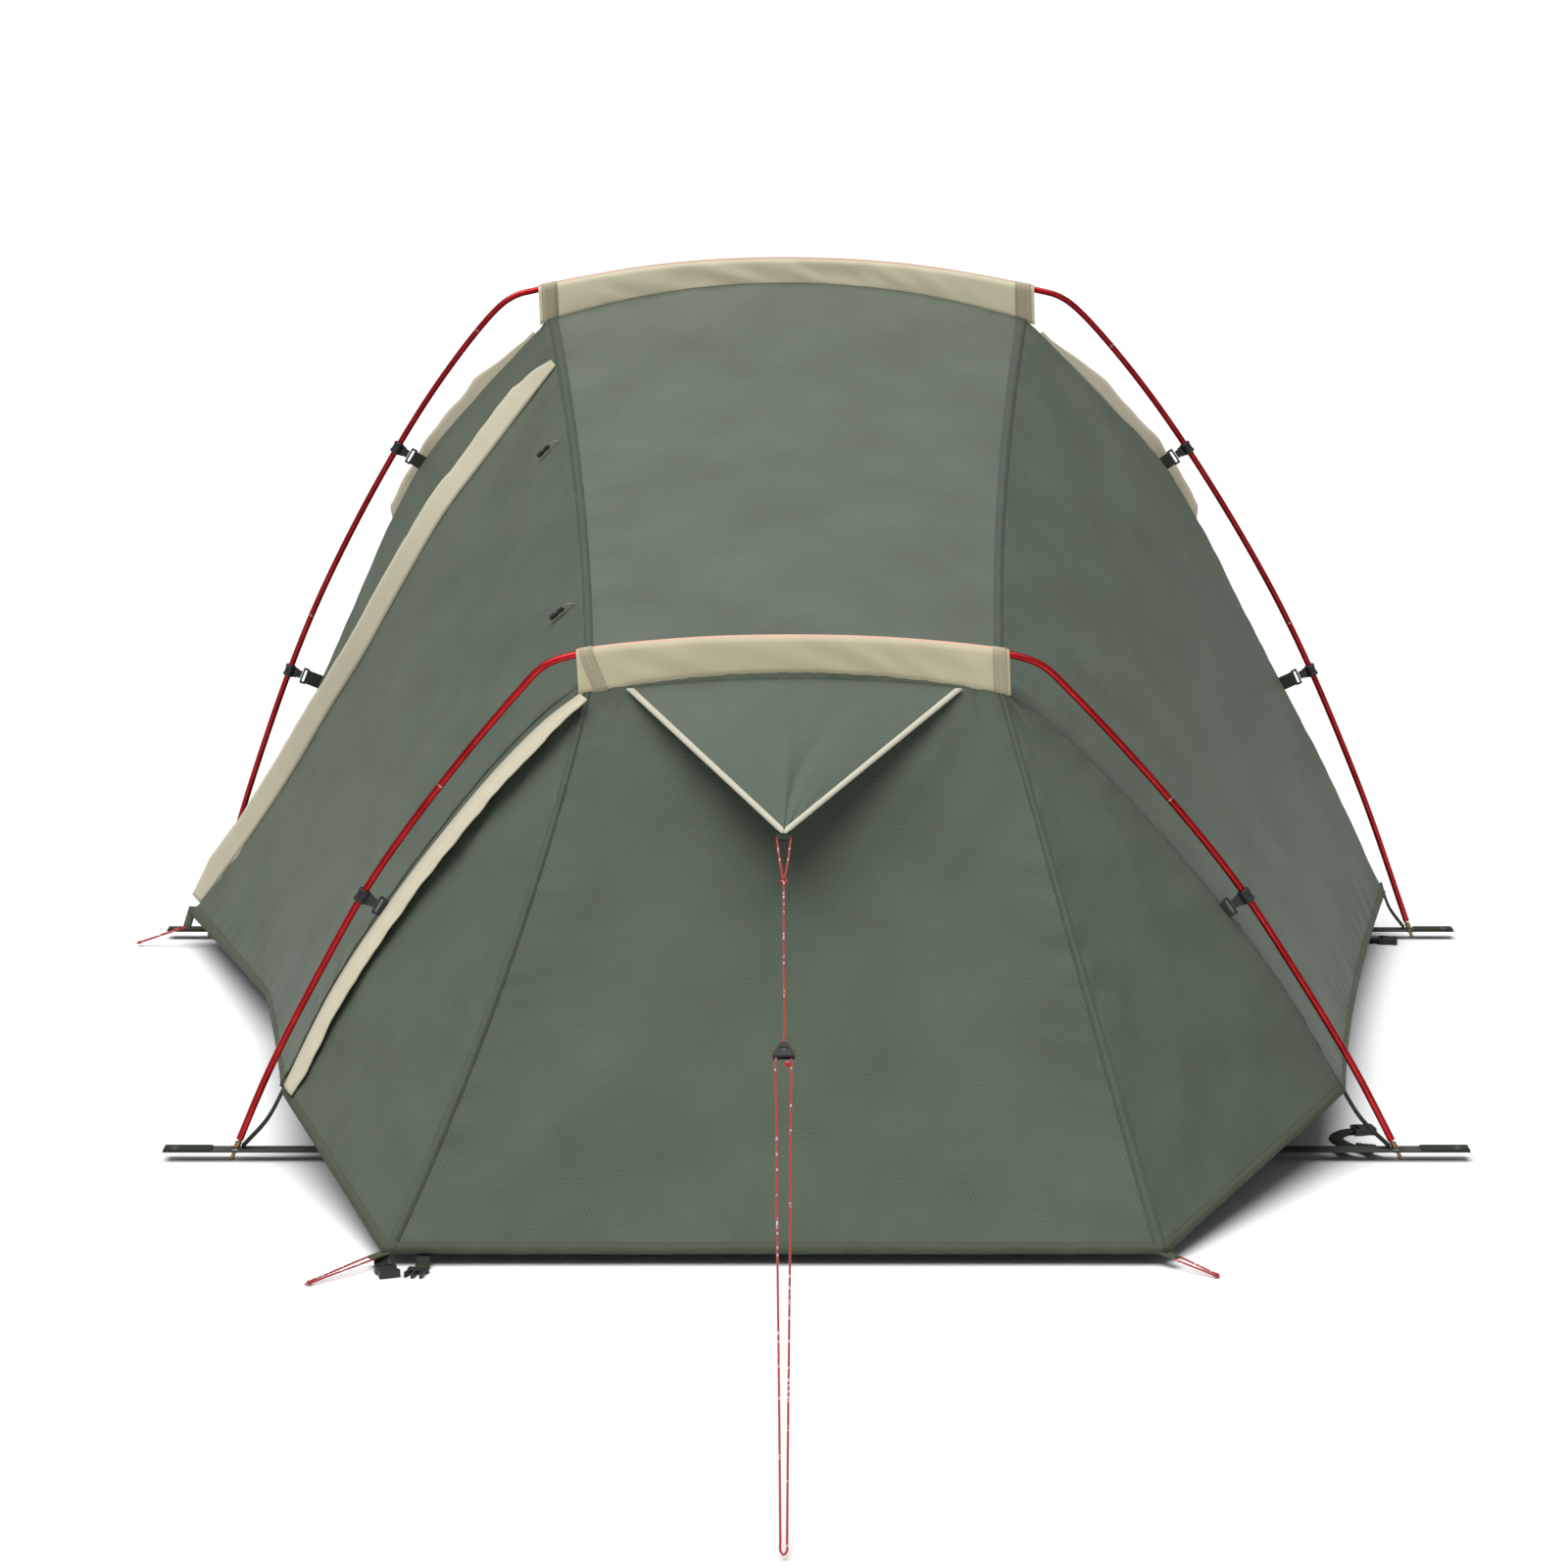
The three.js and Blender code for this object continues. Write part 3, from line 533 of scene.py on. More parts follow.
# ---- Base straps ----
# 25 mm nylon webbing from foot to foot under each hoop, with a steel grommet for each pole tip, and a tail
# beyond it that is doubled, box-stitched and set with a peg eyelet.
def woven(name, colour, roughness, hexagon=0.0, rows=(), ribs=0.0, through=None, mottle=(0.93, 1.07),
          gloss=0.08, sheen=0.03):
    """Cloth on a UV map in metres: fine threads, and if asked for hexagon ripstop, ribs, stitch rows at
    distances from its middle line, or a band of another colour where something shows through."""
    material, tree, shader = start_material(name, Roughness=roughness, Sheen_Weight=sheen, Sheen_Roughness=0.5,
                                            Specular_IOR_Level=gloss)
    place = add(tree, "UVMap")[0]
    cloud = add(tree, "TexNoise", {"Vector": place, "Scale": 7, "Detail": 4})["Fac"]
    # Threads lie 0.15 mm apart; drawn at about 2 mm, so that they show.
    thread = add(tree, "TexNoise", {"Vector": place, "Scale": 480, "Detail": 1.5})["Fac"]
    mixed = add(tree, "Mix", {0: 0.45, 2: cloud, 3: thread}, data_type="FLOAT")[0]
    tone = add(tree, "MapRange", {"Value": mixed, "From Min": 0.3, "From Max": 0.7, "To Min": mottle[0],
                                  "To Max": mottle[1]})[0]
    height = add(tree, "Math", {0: thread, 1: 0.35}, operation="MULTIPLY")[0]
    if hexagon:
        cell = (1, 3**0.5, 1)
        scaled = add(tree, "VectorMath", {0: place, "Scale": 1 / hexagon}, operation="SCALE")[0]
        spots = []
        for shift in ((400, 400 * 3**0.5, 0), (400.5, 400.5 * 3**0.5, 0)):
            moved = add(tree, "VectorMath", {0: scaled, 1: shift}, operation="ADD")[0]
            wrapped = add(tree, "VectorMath", {0: moved, 1: cell}, operation="MODULO")[0]
            spots.append(add(tree, "VectorMath", {0: wrapped, 1: (0.5, 3**0.5 / 2, 0)}, operation="SUBTRACT")[0])
        far = [add(tree, "VectorMath", {0: spot}, operation="LENGTH")["Value"] for spot in spots]
        nearer = add(tree, "Math", {0: far[0], 1: far[1]}, operation="GREATER_THAN")[0]
        spot = add(tree, "Mix", {0: nearer, 4: spots[0], 5: spots[1]}, data_type="VECTOR")[1]
        folded = add(tree, "VectorMath", {0: spot}, operation="ABSOLUTE")[0]
        flat_side = add(tree, "SeparateXYZ", {0: folded})[0]
        slant_side = add(tree, "VectorMath", {0: folded, 1: (0.5, 3**0.5 / 2, 0)}, operation="DOT_PRODUCT")["Value"]
        reach = add(tree, "Math", {0: flat_side, 1: slant_side}, operation="MAXIMUM")[0]
        grid = add(tree, "MapRange", {"Value": reach, "From Min": 0.36, "From Max": 0.48}, clamp=True)[0]
        height = add(tree, "Math", {0: grid, 1: height}, operation="ADD")[0]
        tone = add(tree, "Math", {0: grid, 1: -0.15, 2: tone}, operation="MULTIPLY_ADD")[0]
    across, along = add(tree, "SeparateXYZ", {0: place})[:2]
    if ribs:
        wave = add(tree, "Math", {0: across, 1: 2 * math.pi / ribs}, operation="MULTIPLY")[0]
        ridge = add(tree, "Math", {0: wave}, operation="SINE")[0]
        height = add(tree, "Math", {0: ridge, 1: 0.5, 2: height}, operation="MULTIPLY_ADD")[0]
        tone = add(tree, "Math", {0: ridge, 1: 0.08, 2: tone}, operation="MULTIPLY_ADD")[0]
    for row in rows:
        # Stitches are 3 mm long, in thread of 0.4 mm; drawn at 0.9 mm, so that they show.
        off = add(tree, "Math", {0: across, 1: row, 2: 0.00045}, operation="COMPARE")[0]
        beat = add(tree, "Math", {0: along, 1: 0.0034}, operation="PINGPONG")[0]
        dash = add(tree, "Math", {0: beat, 1: 0.0026}, operation="LESS_THAN")[0]
        stitch = add(tree, "Math", {0: off, 1: dash}, operation="MULTIPLY")[0]
        tone = add(tree, "Math", {0: stitch, 1: -0.22, 2: tone}, operation="MULTIPLY_ADD")[0]
        height = add(tree, "Math", {0: stitch, 1: -1.2, 2: height}, operation="MULTIPLY_ADD")[0]
    base = linear(colour)
    if through:
        seen, half = through
        away = add(tree, "Math", {0: across}, operation="ABSOLUTE")[0]
        band = add(tree, "MapRange", {"Value": away, "From Min": half, "From Max": half * 0.35}, clamp=True)[0]
        base = add(tree, "Mix", {0: band, 6: base, 7: linear(seen)}, data_type="RGBA")[2]
    toned = add(tree, "HueSaturation", {"Value": tone, "Color": base})[0]
    bump = add(tree, "Bump", {"Height": height, "Strength": 0.35, "Distance": 0.0004})[0]
    tree.links.new(toned, shader.inputs["Base Color"])
    tree.links.new(bump, shader.inputs["Normal"])
    return material


INSIDE = np.array([0, -0.3, 0.25])  # a place inside the tent that all its cloth faces away from


def outward(surface, u, v):
    """Unit vectors square to the cloth, pointing out of the tent."""
    step = 1e-3
    along = surface(np.minimum(u + step, 1), v) - surface(np.maximum(u - step, 0), v)
    down = surface(u, np.minimum(v + step, 1)) - surface(u, np.maximum(v - step, 0))
    normal = np.cross(along, down)
    normal /= np.linalg.norm(normal, axis=1, keepdims=True) + 1e-12
    return normal * np.sign(np.sum(normal * (surface(u, v) - INSIDE), axis=1, keepdims=True) + 1e-12)


def lifted(surface, height):
    """The surface moved out of itself by height, a number or a function of u and v."""
    def raised(u, v):
        rise = height(u, v) if callable(height) else np.full(len(u), height)
        return surface(u, v) + outward(surface, u, v) * rise[:, None]
    return raised


def lay_sheet(name, surface, cut, material, slot="ripstop", body="tent", cell=0.012, gauge=0.001):
    """Cloth or webbing over surface(u, v), cut to cut = (width, length), with its UV map in metres."""
    mesh = bmesh.new()
    bmesh.ops.create_grid(mesh, x_segments=max(2, round(cut[0] / cell)), y_segments=max(2, round(cut[1] / cell)),
                          size=0.5)
    flat = np.array([vert.co for vert in mesh.verts])[:, :2] + 0.5
    u, v = flat.T
    bands = np.array([surface(np.full(len(v), s), v) for s in np.linspace(0, 1, 7)])
    width = np.linalg.norm(np.diff(bands, axis=0), axis=2).sum(axis=0)
    spread = np.stack([(u - 0.5) * width, v * cut[1]], axis=1)
    layer = mesh.loops.layers.uv.new("cut")
    for face in mesh.faces:
        for loop in face.loops:
            loop[layer].uv = spread[loop.vert.index]
    for vert, place in zip(mesh.verts, surface(u, v)):
        vert.co = place
    mesh.normal_update()
    facing = sum((face.calc_center_median() - Vector(INSIDE)).dot(face.normal) for face in mesh.faces)
    if facing < 0:
        bmesh.ops.reverse_faces(mesh, faces=mesh.faces)
    data = bpy.data.meshes.new(name)
    mesh.to_mesh(data)
    piece = finish_piece(name, data, material, body, slot)
    wall = piece.modifiers.new("gauge", "SOLIDIFY")
    wall.thickness = gauge
    wall.offset = 0
    return piece


# Black-green webbing: matt, with ribs across it that catch a little light.
webbing = woven("nylon webbing", "#343a2f", 0.8, ribs=0.0022, mottle=(0.85, 1.15))
stitched_web = woven("box-stitched webbing", "#343a2f", 0.8, rows=(-0.0095, 0.0095), ribs=0.0022,
                     mottle=(0.8, 1.2))
# The straps' own weave, drawn 2 mm long and 1 mm across, so that it shows.
strap_web = grained("nylon strap webbing", "#363c31", (0.75, 1.25), 1, detail=2, relief=(0.4, 0.0003),
                    stretch=(520, 900, 1), Roughness=0.82, Sheen_Weight=0.15)
# Zinc-plated steel: bright grey, dulled in patches by handling.
steel = grained("plated steel", "#9b9c98", (0.7, 1.1), 420, Metallic=1.0, Roughness=0.3)


def lay_webbing(name, surface, cut, gauge, material=webbing):
    return lay_sheet(name, surface, cut, material, "webbing", cell=0.004, gauge=gauge)


STRAP_MIDDLE = 0.014
LIP, RIM, BORE, BARREL, FLANGE = 0.0013, 0.0024, 0.005, 0.0065, 0.010
GROMMET = [(BORE + 0.0004, -RIM), (FLANGE - 0.0004, -RIM), (FLANGE, -RIM + 0.0004), (FLANGE, -LIP), (BARREL, -LIP),
           (BARREL, LIP), (FLANGE, LIP), (FLANGE, RIM - 0.0004), (FLANGE - 0.0006, RIM), (BORE + 0.0008, RIM),
           (BORE, RIM - 0.0007), (BORE, -RIM + 0.0004), (BORE + 0.0004, -RIM)]
EYELET = [(0.0040, -0.0016), (0.0062, -0.0016), (0.0064, -0.0011), (0.0064, 0.0024), (0.0058, 0.0029),
          (0.0042, 0.0029), (0.0036, 0.0024), (0.0036, -0.0012), (0.0040, -0.0016)]
EYELET_INSET = 0.015
TAIL = (0.0245, 0.0635)
TAIL_RISE = 0.0021  # how far the doubled tail's middle lies above the strap's
for hoop in (tall, low):
    node = frame["nodes"][f"{hoop.name}_base_strap"]
    node.data.materials.clear()
    node.data.materials.append(strap_web)
    for hand, side in HANDS.items():
        foot = pole_at(hoop, side, STRAP_MIDDLE)[0]
        spot = Matrix.Translation((foot[0], hoop.y, STRAP_MIDDLE))
        grommet = turned(f"{hoop.name}_{hand}_steel_grommet", GROMMET, spot, steel, "tent", "grommet_steel")
        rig.replaces(grommet, f"{hoop.name}_{hand}_grommet")
        spot = Matrix.Translation((side * (hoop.strap - EYELET_INSET), hoop.y, STRAP_MIDDLE))
        turned(f"{hoop.name}_{hand}_peg_eyelet_ring", EYELET, spot, steel, "tent", "grommet_steel")

        def tail_shape(u, v, hoop=hoop, side=side):
            x = hoop.strap - 0.0005 - TAIL[1] * (1 - v)
            rise = STRAP_MIDDLE + TAIL_RISE - 0.0006 * np.clip(1 - v / 0.06, 0, 1)
            return np.stack([side * x, hoop.y + TAIL[0] * (u - 0.5), rise], axis=1)

        lay_webbing(f"{hoop.name}_{hand}_strap_tail", tail_shape, TAIL, 0.0014, stitched_web)


# ---- Fly: shapes ----
# The fly is silicone-coated nylon, cut in panels and joined by felled seams. Its edges follow the hoops. Between
# them the cloth hangs in a little, and it is puckered where it is sewn.
SPAN = tall.y - low.y
SAG = 0.020
FRONT_HEM = {"left": (-0.527, -1.447, 0.015), "right": (0.419, -1.447, 0.015)}
REAR_HEM = {"left": (-0.440, 1.500, 0.015), "right": (0.440, 1.500, 0.015)}


def wall_edge(hoop, side):
    return smooth([on_hoop(hoop, side, x, z) for x, z in hoop.wall])


def roof_edge(hoop):
    def rib(u):
        t = 2 * u - 1
        z = hoop.crown - (hoop.crown - hoop.edge) * t * t
        return np.stack([hoop.half * t + hoop.sway * z, np.full(len(u), hoop.y), z], axis=1)
    return rib


def between(rib_a, rib_b, u, share, inward):
    """Cloth from one rib to another, hanging in most at the middle."""
    a, b = rib_a(u), rib_b(u)
    share = np.broadcast_to(share, u.shape)[:, None]
    return a + (b - a) * share + inward(u) * (SAG * 4 * share * (1 - share))


def inwards(side):
    return lambda u: np.tile((-side * 0.75, 0, -0.66), (len(u), 1))


def roof_inwards(u):
    t = 2 * u - 1
    return np.stack([-t * 0.75, 0 * t, -1 + 0.34 * t * t], axis=1)


def wander(x, y, z):
    """Smooth uneven heights between -1 and 1 over places x, y, z, the same at every run."""
    return np.array([noise.noise(Vector(place)) for place in zip(*np.broadcast_arrays(x, y, z))])


def rumpled(surface, cut, seed, pucker=0.0024, wave=0.006, creases=()):
    """The cloth as it really hangs: puckers along its edges, slow waves, and creases between two places
    given as ((u, v), (u, v), height, width)."""
    def height(u, v):
        # Slow waves are about 0.24 m long and die out at the edges; puckers are 30 mm apart, square to an edge, and
        # are strongest 20 mm in from it.
        x, y = u * cut[0], v * cut[1]
        edges = ((x, y), (cut[0] - x, y), (y, x), (cut[1] - y, x))
        inner = np.minimum.reduce([away for away, _ in edges])
        rise = wave * wander(x * 4.2, y * 4.2, seed) * np.clip(inner / 0.12, 0, 1)
        for k, (away, along) in enumerate(edges):
            fade = np.exp(-away / 0.055) * (1 - np.exp(-away / 0.010))
            rise += pucker * 2.4 * fade * wander(along / 0.030, away / 0.16, seed + 9 * k)
        for begin, end, crest, reach in creases:
            p, q = np.multiply(begin, cut), np.multiply(end, cut)
            line = q - p
            t = np.clip(((x - p[0]) * line[0] + (y - p[1]) * line[1]) / line.dot(line), 0, 1)
            off = np.hypot(x - p[0] - t * line[0], y - p[1] - t * line[1])
            rise += crest * np.exp(-(off / reach) ** 2) * np.sin(math.pi * np.clip(t, 0.03, 0.97)) ** 0.6
        return rise
    return lifted(surface, height)


# Muted grey-green ripstop: a faint honeycomb, and cloudy where the coating lies thicker.
ripstop = woven("hexagon ripstop nylon", "#5a6456", 0.55, hexagon=0.0062, mottle=(0.80, 1.16))
# The same cloth where it is folded and sewn: a shade darker, with two rows of stitches.
felled = woven("felled seam", "#555e53", 0.6, rows=(-0.0035, 0.0035), mottle=(0.9, 1.06))
hem_tape = woven("hem tape", "#4f5748", 0.7, rows=(-0.002,), mottle=(0.88, 1.08))
SEAM_WIDTH = 0.013
HEM_WIDTH = 0.014


def seam(name, surface, cut, hand, past=0.0025):
    """The felled seam along a panel's first or last edge, which it covers and stands past."""
    share, past = SEAM_WIDTH / cut[0], past / cut[0]
    start, end = (-past, share) if hand == "left" else (1 + past, 1 - share)

    def strip(u, v):
        return surface(start + (end - start) * u, v)
    return lay_sheet(name, lifted(strip, 0.0009), (SEAM_WIDTH, cut[1]), felled, cell=0.009, gauge=0.0012)


def hem(name, surface, cut, body="tent"):
    """The tape folded round a panel's lower edge."""
    def strip(u, v):
        return surface(v, 1 - HEM_WIDTH / cut[1] * u)
    return lay_sheet(name, strip, (HEM_WIDTH, cut[0]), hem_tape, body=body, cell=0.009, gauge=0.003)


# ---- Roof ----
# One panel of ripstop between the two sleeves, pulled tight by both hoops and sewn to the walls along its long
# sides with felled seams.
ROOF = (0.75, 1.30)
# Pulled tight, the same cloth is smoother, so it takes more of a sheen from above. Its colour is painted light: the
# same ripstop, a shade lighter than on the walls, for the light the roof takes from overhead.
roof_ripstop_painted_lighter = woven("taut hexagon ripstop nylon", "#5f695b", 0.5, hexagon=0.0062, mottle=(0.80, 1.16), gloss=0.36,
                     sheen=0.12)


def roof_shape(u, v):
    return between(roof_edge(tall), roof_edge(low), u, v, roof_inwards)


roof_cloth = rumpled(roof_shape, ROOF, 1, creases=[((0.10, 0.02), (0.42, 0.30), 0.0025, 0.025),
                                                   ((0.78, 0.02), (0.66, 0.42), 0.0020, 0.03),
                                                   ((0.10, 0.98), (0.3, 0.72), -0.002, 0.03)])
# The roof is laid in the copy of the ripstop that is painted lighter for the light from above.
roof = lay_sheet("roof_sheet", roof_cloth, ROOF, roof_ripstop_painted_lighter)
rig.replaces(roof, "roof_panel")
roof_seams = [seam(f"roof_{hand}_seam", roof_cloth, ROOF, hand) for hand in HANDS]
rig.sheet(roof, flat=ROOF, held="stretched", rests_on=["tall_sleeve", "low_sleeve"], area=0.80,
         with_pieces=roof_seams)


# ---- Right wall ----
# One panel of ripstop from the rear door's zip, past the tall hoop, to the low hoop. It is sewn to the roof at its
# top, and its hem is turned up and held down by the corner straps.
WALL = (1.33, 1.12)
REAR_ZIP = 0.059  # the share of the way from the tall hoop to the rear ridge where the rear doors' zips run
TURN = 0.05  # the share of the panel that lies behind the hoop


def end_rib(hoop, hand, corners, u, share, bow=0.0):
    """A line down the side of an end, at a share of the way from the hoop to the ridge seam."""
    side = HANDS[hand]
    top = on_hoop(hoop, side, hoop.half, hoop.edge)
    ridge = top + (np.array(corners[hand]) - top) * u[:, None]
    ridge[:, 0] += bow * 4 * u * (1 - u)
    edge = wall_edge(hoop, side)(u)
    share = np.broadcast_to(share, u.shape)[:, None]
    return edge + (ridge - edge) * share


def right_wall_shape(u, v):
    rear = end_rib(tall, "right", REAR_HEM, v, REAR_ZIP * np.clip(1 - u / TURN, 0, 1))
    ahead = between(wall_edge(tall, 1), wall_edge(low, 1), v, np.clip((u - TURN) / (1 - TURN), 0, 1), inwards(1))
    return np.where((u < TURN)[:, None], rear, ahead)


right_cloth = rumpled(right_wall_shape, WALL, 2, creases=[((0.08, 0.05), (0.35, 0.42), 0.004, 0.05),
                                                          ((0.90, 0.04), (0.72, 0.5), -0.004, 0.05),
                                                          ((0.07, 0.3), (0.25, 0.36), 0.003, 0.03)])
right_wall = lay_sheet("right_wall_sheet", right_cloth, WALL, ripstop)
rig.replaces(right_wall, "right_wall")
right_trims = [hem("right_wall_hem", right_cloth, WALL), seam("right_wall_low_seam", right_cloth, WALL, "right")]
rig.sheet(right_wall, flat=WALL, held="stretched", rests_on=["low_sleeve", "tall_sleeve"], area=1.12,
         with_pieces=right_trims)


# ---- Left wall ----
# Two pieces of ripstop: a strip along the tall hoop, and the side door, which zips to it along a curve. The door is
# sewn only to the roof, so that it rolls up to that seam.
ZIP_CURVE = (0.165, 0.225, 0.255, 0.225, 0.150, 0.085, 0.046)  # how far ahead of the tall hoop the zip runs
ZIP_AHEAD = smooth([(ahead, k * 0.1, 0) for k, ahead in enumerate(ZIP_CURVE)])
zip_shares = np.linspace(0, 1, 400)
zip_places = ZIP_AHEAD(zip_shares)
CORNER_FLARE = 0.072
DOOR_SETBACK = 0.030


def zip_share(u):
    return np.interp(u * 0.6, zip_places[:, 1], zip_places[:, 0]) / SPAN


def left_rib(u, share):
    share = np.broadcast_to(share, u.shape)
    place = between(wall_edge(tall, -1), wall_edge(low, -1), u, share, inwards(-1))
    zip_line = zip_share(u)
    reach = np.where(share < zip_line, share / zip_line, np.maximum(0, 1 - (share - zip_line) / 0.5))
    lowness = np.maximum(0, (u - 0.72) / 0.28)
    return place + np.array([-1, 0, -0.35]) * (CORNER_FLARE * lowness**2 * reach)[:, None]


STRIP = (0.30, 1.12)
STRIP_TURN = 0.3


def strip_shape(u, v):
    rear = end_rib(tall, "left", REAR_HEM, v, REAR_ZIP * np.clip(1 - u / STRIP_TURN, 0, 1))
    ahead = left_rib(v, np.clip((u - STRIP_TURN) / (1 - STRIP_TURN), 0, 1) * zip_share(v))
    return np.where((u < STRIP_TURN)[:, None], rear, ahead)


strip_cloth = rumpled(strip_shape, STRIP, 3, wave=0.002)
hoop_strip = lay_sheet("tall_hoop_strip_sheet", strip_cloth, STRIP, ripstop)
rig.replaces(hoop_strip, "tall_hoop_strip")
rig.sheet(hoop_strip, flat=STRIP, held="stretched", rests_on=["tall_sleeve"], area=0.24,
         with_pieces=[hem("tall_hoop_strip_hem", strip_cloth, STRIP)])

DOOR = (1.12, 1.12)


def door_shape(u, v):
    first, last = zip_share(v) + 0.001 / SPAN, 1 - DOOR_SETBACK / SPAN
    return left_rib(v, first + (last - first) * u)


door_cloth = rumpled(door_shape, DOOR, 4, creases=[((0.04, 0.04), (0.5, 0.35), -0.004, 0.06),
                                                   ((0.95, 0.06), (0.6, 0.5), 0.004, 0.05),
                                                   ((0.02, 0.35), (0.3, 0.30), 0.003, 0.035)])
side_door = lay_sheet("side_door_sheet", door_cloth, DOOR, ripstop, body="side_door")
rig.replaces(side_door, "side_door")
door_hem = hem("side_door_hem", door_cloth, DOOR, "side_door")
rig.sheet(side_door, flat=DOOR, held="hung", rests_on=["roof_sheet"], area=1.02, with_pieces=[door_hem])


# ---- Front end ----
# Ripstop again: a middle panel between two ridge seams, from the low sleeve down to a straight hem, and a side
# piece on each hand that is sewn on at the ridge and runs back to the low hoop.
def end_panel(hoop, corners, bow=0.0):
    def shape(u, v):
        tops = [on_hoop(hoop, side, hoop.half, hoop.edge) for side in HANDS.values()]
        left, right = (top + (np.array(corners[hand]) - top) * v[:, None] for top, hand in zip(tops, HANDS))
        left[:, 0] += bow * 4 * v * (1 - v)
        place = left + (right - left) * u[:, None]
        t = 2 * u - 1
        place[:, 2] += (hoop.crown - hoop.edge) * (1 - t * t) * (1 - v) ** 2
        place[:, 1] -= np.sign(corners["left"][1]) * 0.015 * 4 * v * (1 - v) * (1 - t**4)
        return place
    return shape


FRONT = (0.98, 0.78)
front_shape = end_panel(low, FRONT_HEM, bow=0.020)
front_cloth = rumpled(front_shape, FRONT, 5, creases=[((0.90, 0.04), (0.60, 0.34), 0.004, 0.018),
                                                      ((0.98, 0.10), (0.74, 0.40), 0.0035, 0.03),
                                                      ((0.03, 0.06), (0.22, 0.46), -0.003, 0.03),
                                                      ((0.08, 0.97), (0.26, 0.62), 0.004, 0.04),
                                                      ((0.93, 0.97), (0.78, 0.66), 0.004, 0.04)])
front = lay_sheet("front_sheet", front_cloth, FRONT, ripstop, cell=0.010)
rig.replaces(front, "front_panel")
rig.sheet(front, flat=FRONT, held="stretched", rests_on=["low_sleeve"], area=0.62, with_pieces=[
    hem("front_hem", front_cloth, FRONT), *(seam(f"front_{hand}_seam", front_cloth, FRONT, hand) for hand in HANDS)])

GUSSET = (0.50, 0.78)
for hand, bow in (("left", 0.020), ("right", 0.0)):
    def gusset_shape(u, v, hand=hand, bow=bow):
        return end_rib(low, hand, FRONT_HEM, v, u, bow)

    gusset_cloth = rumpled(gusset_shape, GUSSET, 6 + bow * 50, creases=[
        ((0.9, 0.95), (0.5, 0.62), 0.005, 0.035), ((0.95, 0.80), (0.6, 0.50), -0.004, 0.04),
        ((0.2, 0.2), (0.5, 0.6), 0.003, 0.03)])
    gusset = lay_sheet(f"front_{hand}_sheet", gusset_cloth, GUSSET, ripstop, cell=0.010)
    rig.replaces(gusset, f"front_{hand}_panel")
    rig.sheet(gusset, flat=GUSSET, held="stretched", rests_on=["front_sheet"], area=0.195, with_pieces=[
        hem(f"front_{hand}_hem", gusset_cloth, GUSSET)])


# ---- Rear end ----
# The vestibule behind the tall hoop, in the same cloth: a middle panel, and on each hand a door that zips along the
# hoop and is sewn on at the ridge seam.
REAR = (0.88, 1.62)
rear_shape = end_panel(tall, REAR_HEM)
rear_cloth = rumpled(rear_shape, REAR, 8, creases=[((0.1, 0.03), (0.3, 0.4), 0.004, 0.04),
                                                   ((0.9, 0.03), (0.7, 0.4), 0.004, 0.04)])
rear = lay_sheet("rear_sheet", rear_cloth, REAR, ripstop, cell=0.013)
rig.replaces(rear, "rear_panel")
SEAM_INSET = 0.004
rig.sheet(rear, flat=REAR, held="stretched", rests_on=["tall_sleeve"], area=1.30, with_pieces=[
    hem("rear_hem", rear_cloth, REAR),
    *(seam(f"rear_{hand}_seam", rear_cloth, REAR, hand, past=-SEAM_INSET) for hand in HANDS)])

REAR_DOOR = (1.45, 1.45)
for hand, side in HANDS.items():
    def rear_door_shape(u, v, hand=hand):
        return end_rib(tall, hand, REAR_HEM, v, 0.062 + 0.937 * u)

    rear_door_cloth = rumpled(rear_door_shape, REAR_DOOR, 10 + side, creases=[((0.1, 0.4), (0.6, 0.7), 0.005, 0.05)])
    rear_door = lay_sheet(f"rear_{hand}_door_sheet", rear_door_cloth, REAR_DOOR, ripstop, cell=0.013,
                          body=f"rear_{hand}_door")
    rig.replaces(rear_door, f"rear_{hand}_door")
    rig.sheet(rear_door, flat=REAR_DOOR, held="hung", rests_on=["rear_sheet"], area=0.80, with_pieces=[
        hem(f"rear_{hand}_door_hem", rear_door_cloth, REAR_DOOR, f"rear_{hand}_door")])


# ---- Sleeves ----
# Beige polyester folded over each hoop's crown and sewn to the fly, its ends doubled and turned back. The red
# tube shows through as a pink line along the top.

# Warm beige and matt; the pink of the tube fades out down each face. Both sleeves are one cloth, painted lighter on
# the tall hoop and darker on the low one, for the light that each takes.
sleeve_cloth = {"tall": woven("tall sleeve polyester", "#e5dcc0", 0.7, through=("#c89f8c", 0.007)),
                "low": woven("low sleeve polyester", "#d1c8a8", 0.7, through=("#dfb5a2", 0.007))}
# Doubled cloth lets less light through, so it is darker and greyer.
sleeve_band = woven("doubled sleeve end", "#b8ae94", 0.75, rows=(-0.003, 0.003), mottle=(0.94, 1.04))
TUNNEL = 0.0066  # radius of the fold over the tube
FACE = 0.4  # each face's share of the cut; the rest goes over the tube
FOOT_HALF = 0.0026  # half the gap between the two faces where they are sewn down
WRINKLE = 0.0052
BAND_WIDTH = 0.016
BAND_LIFT = 0.0011


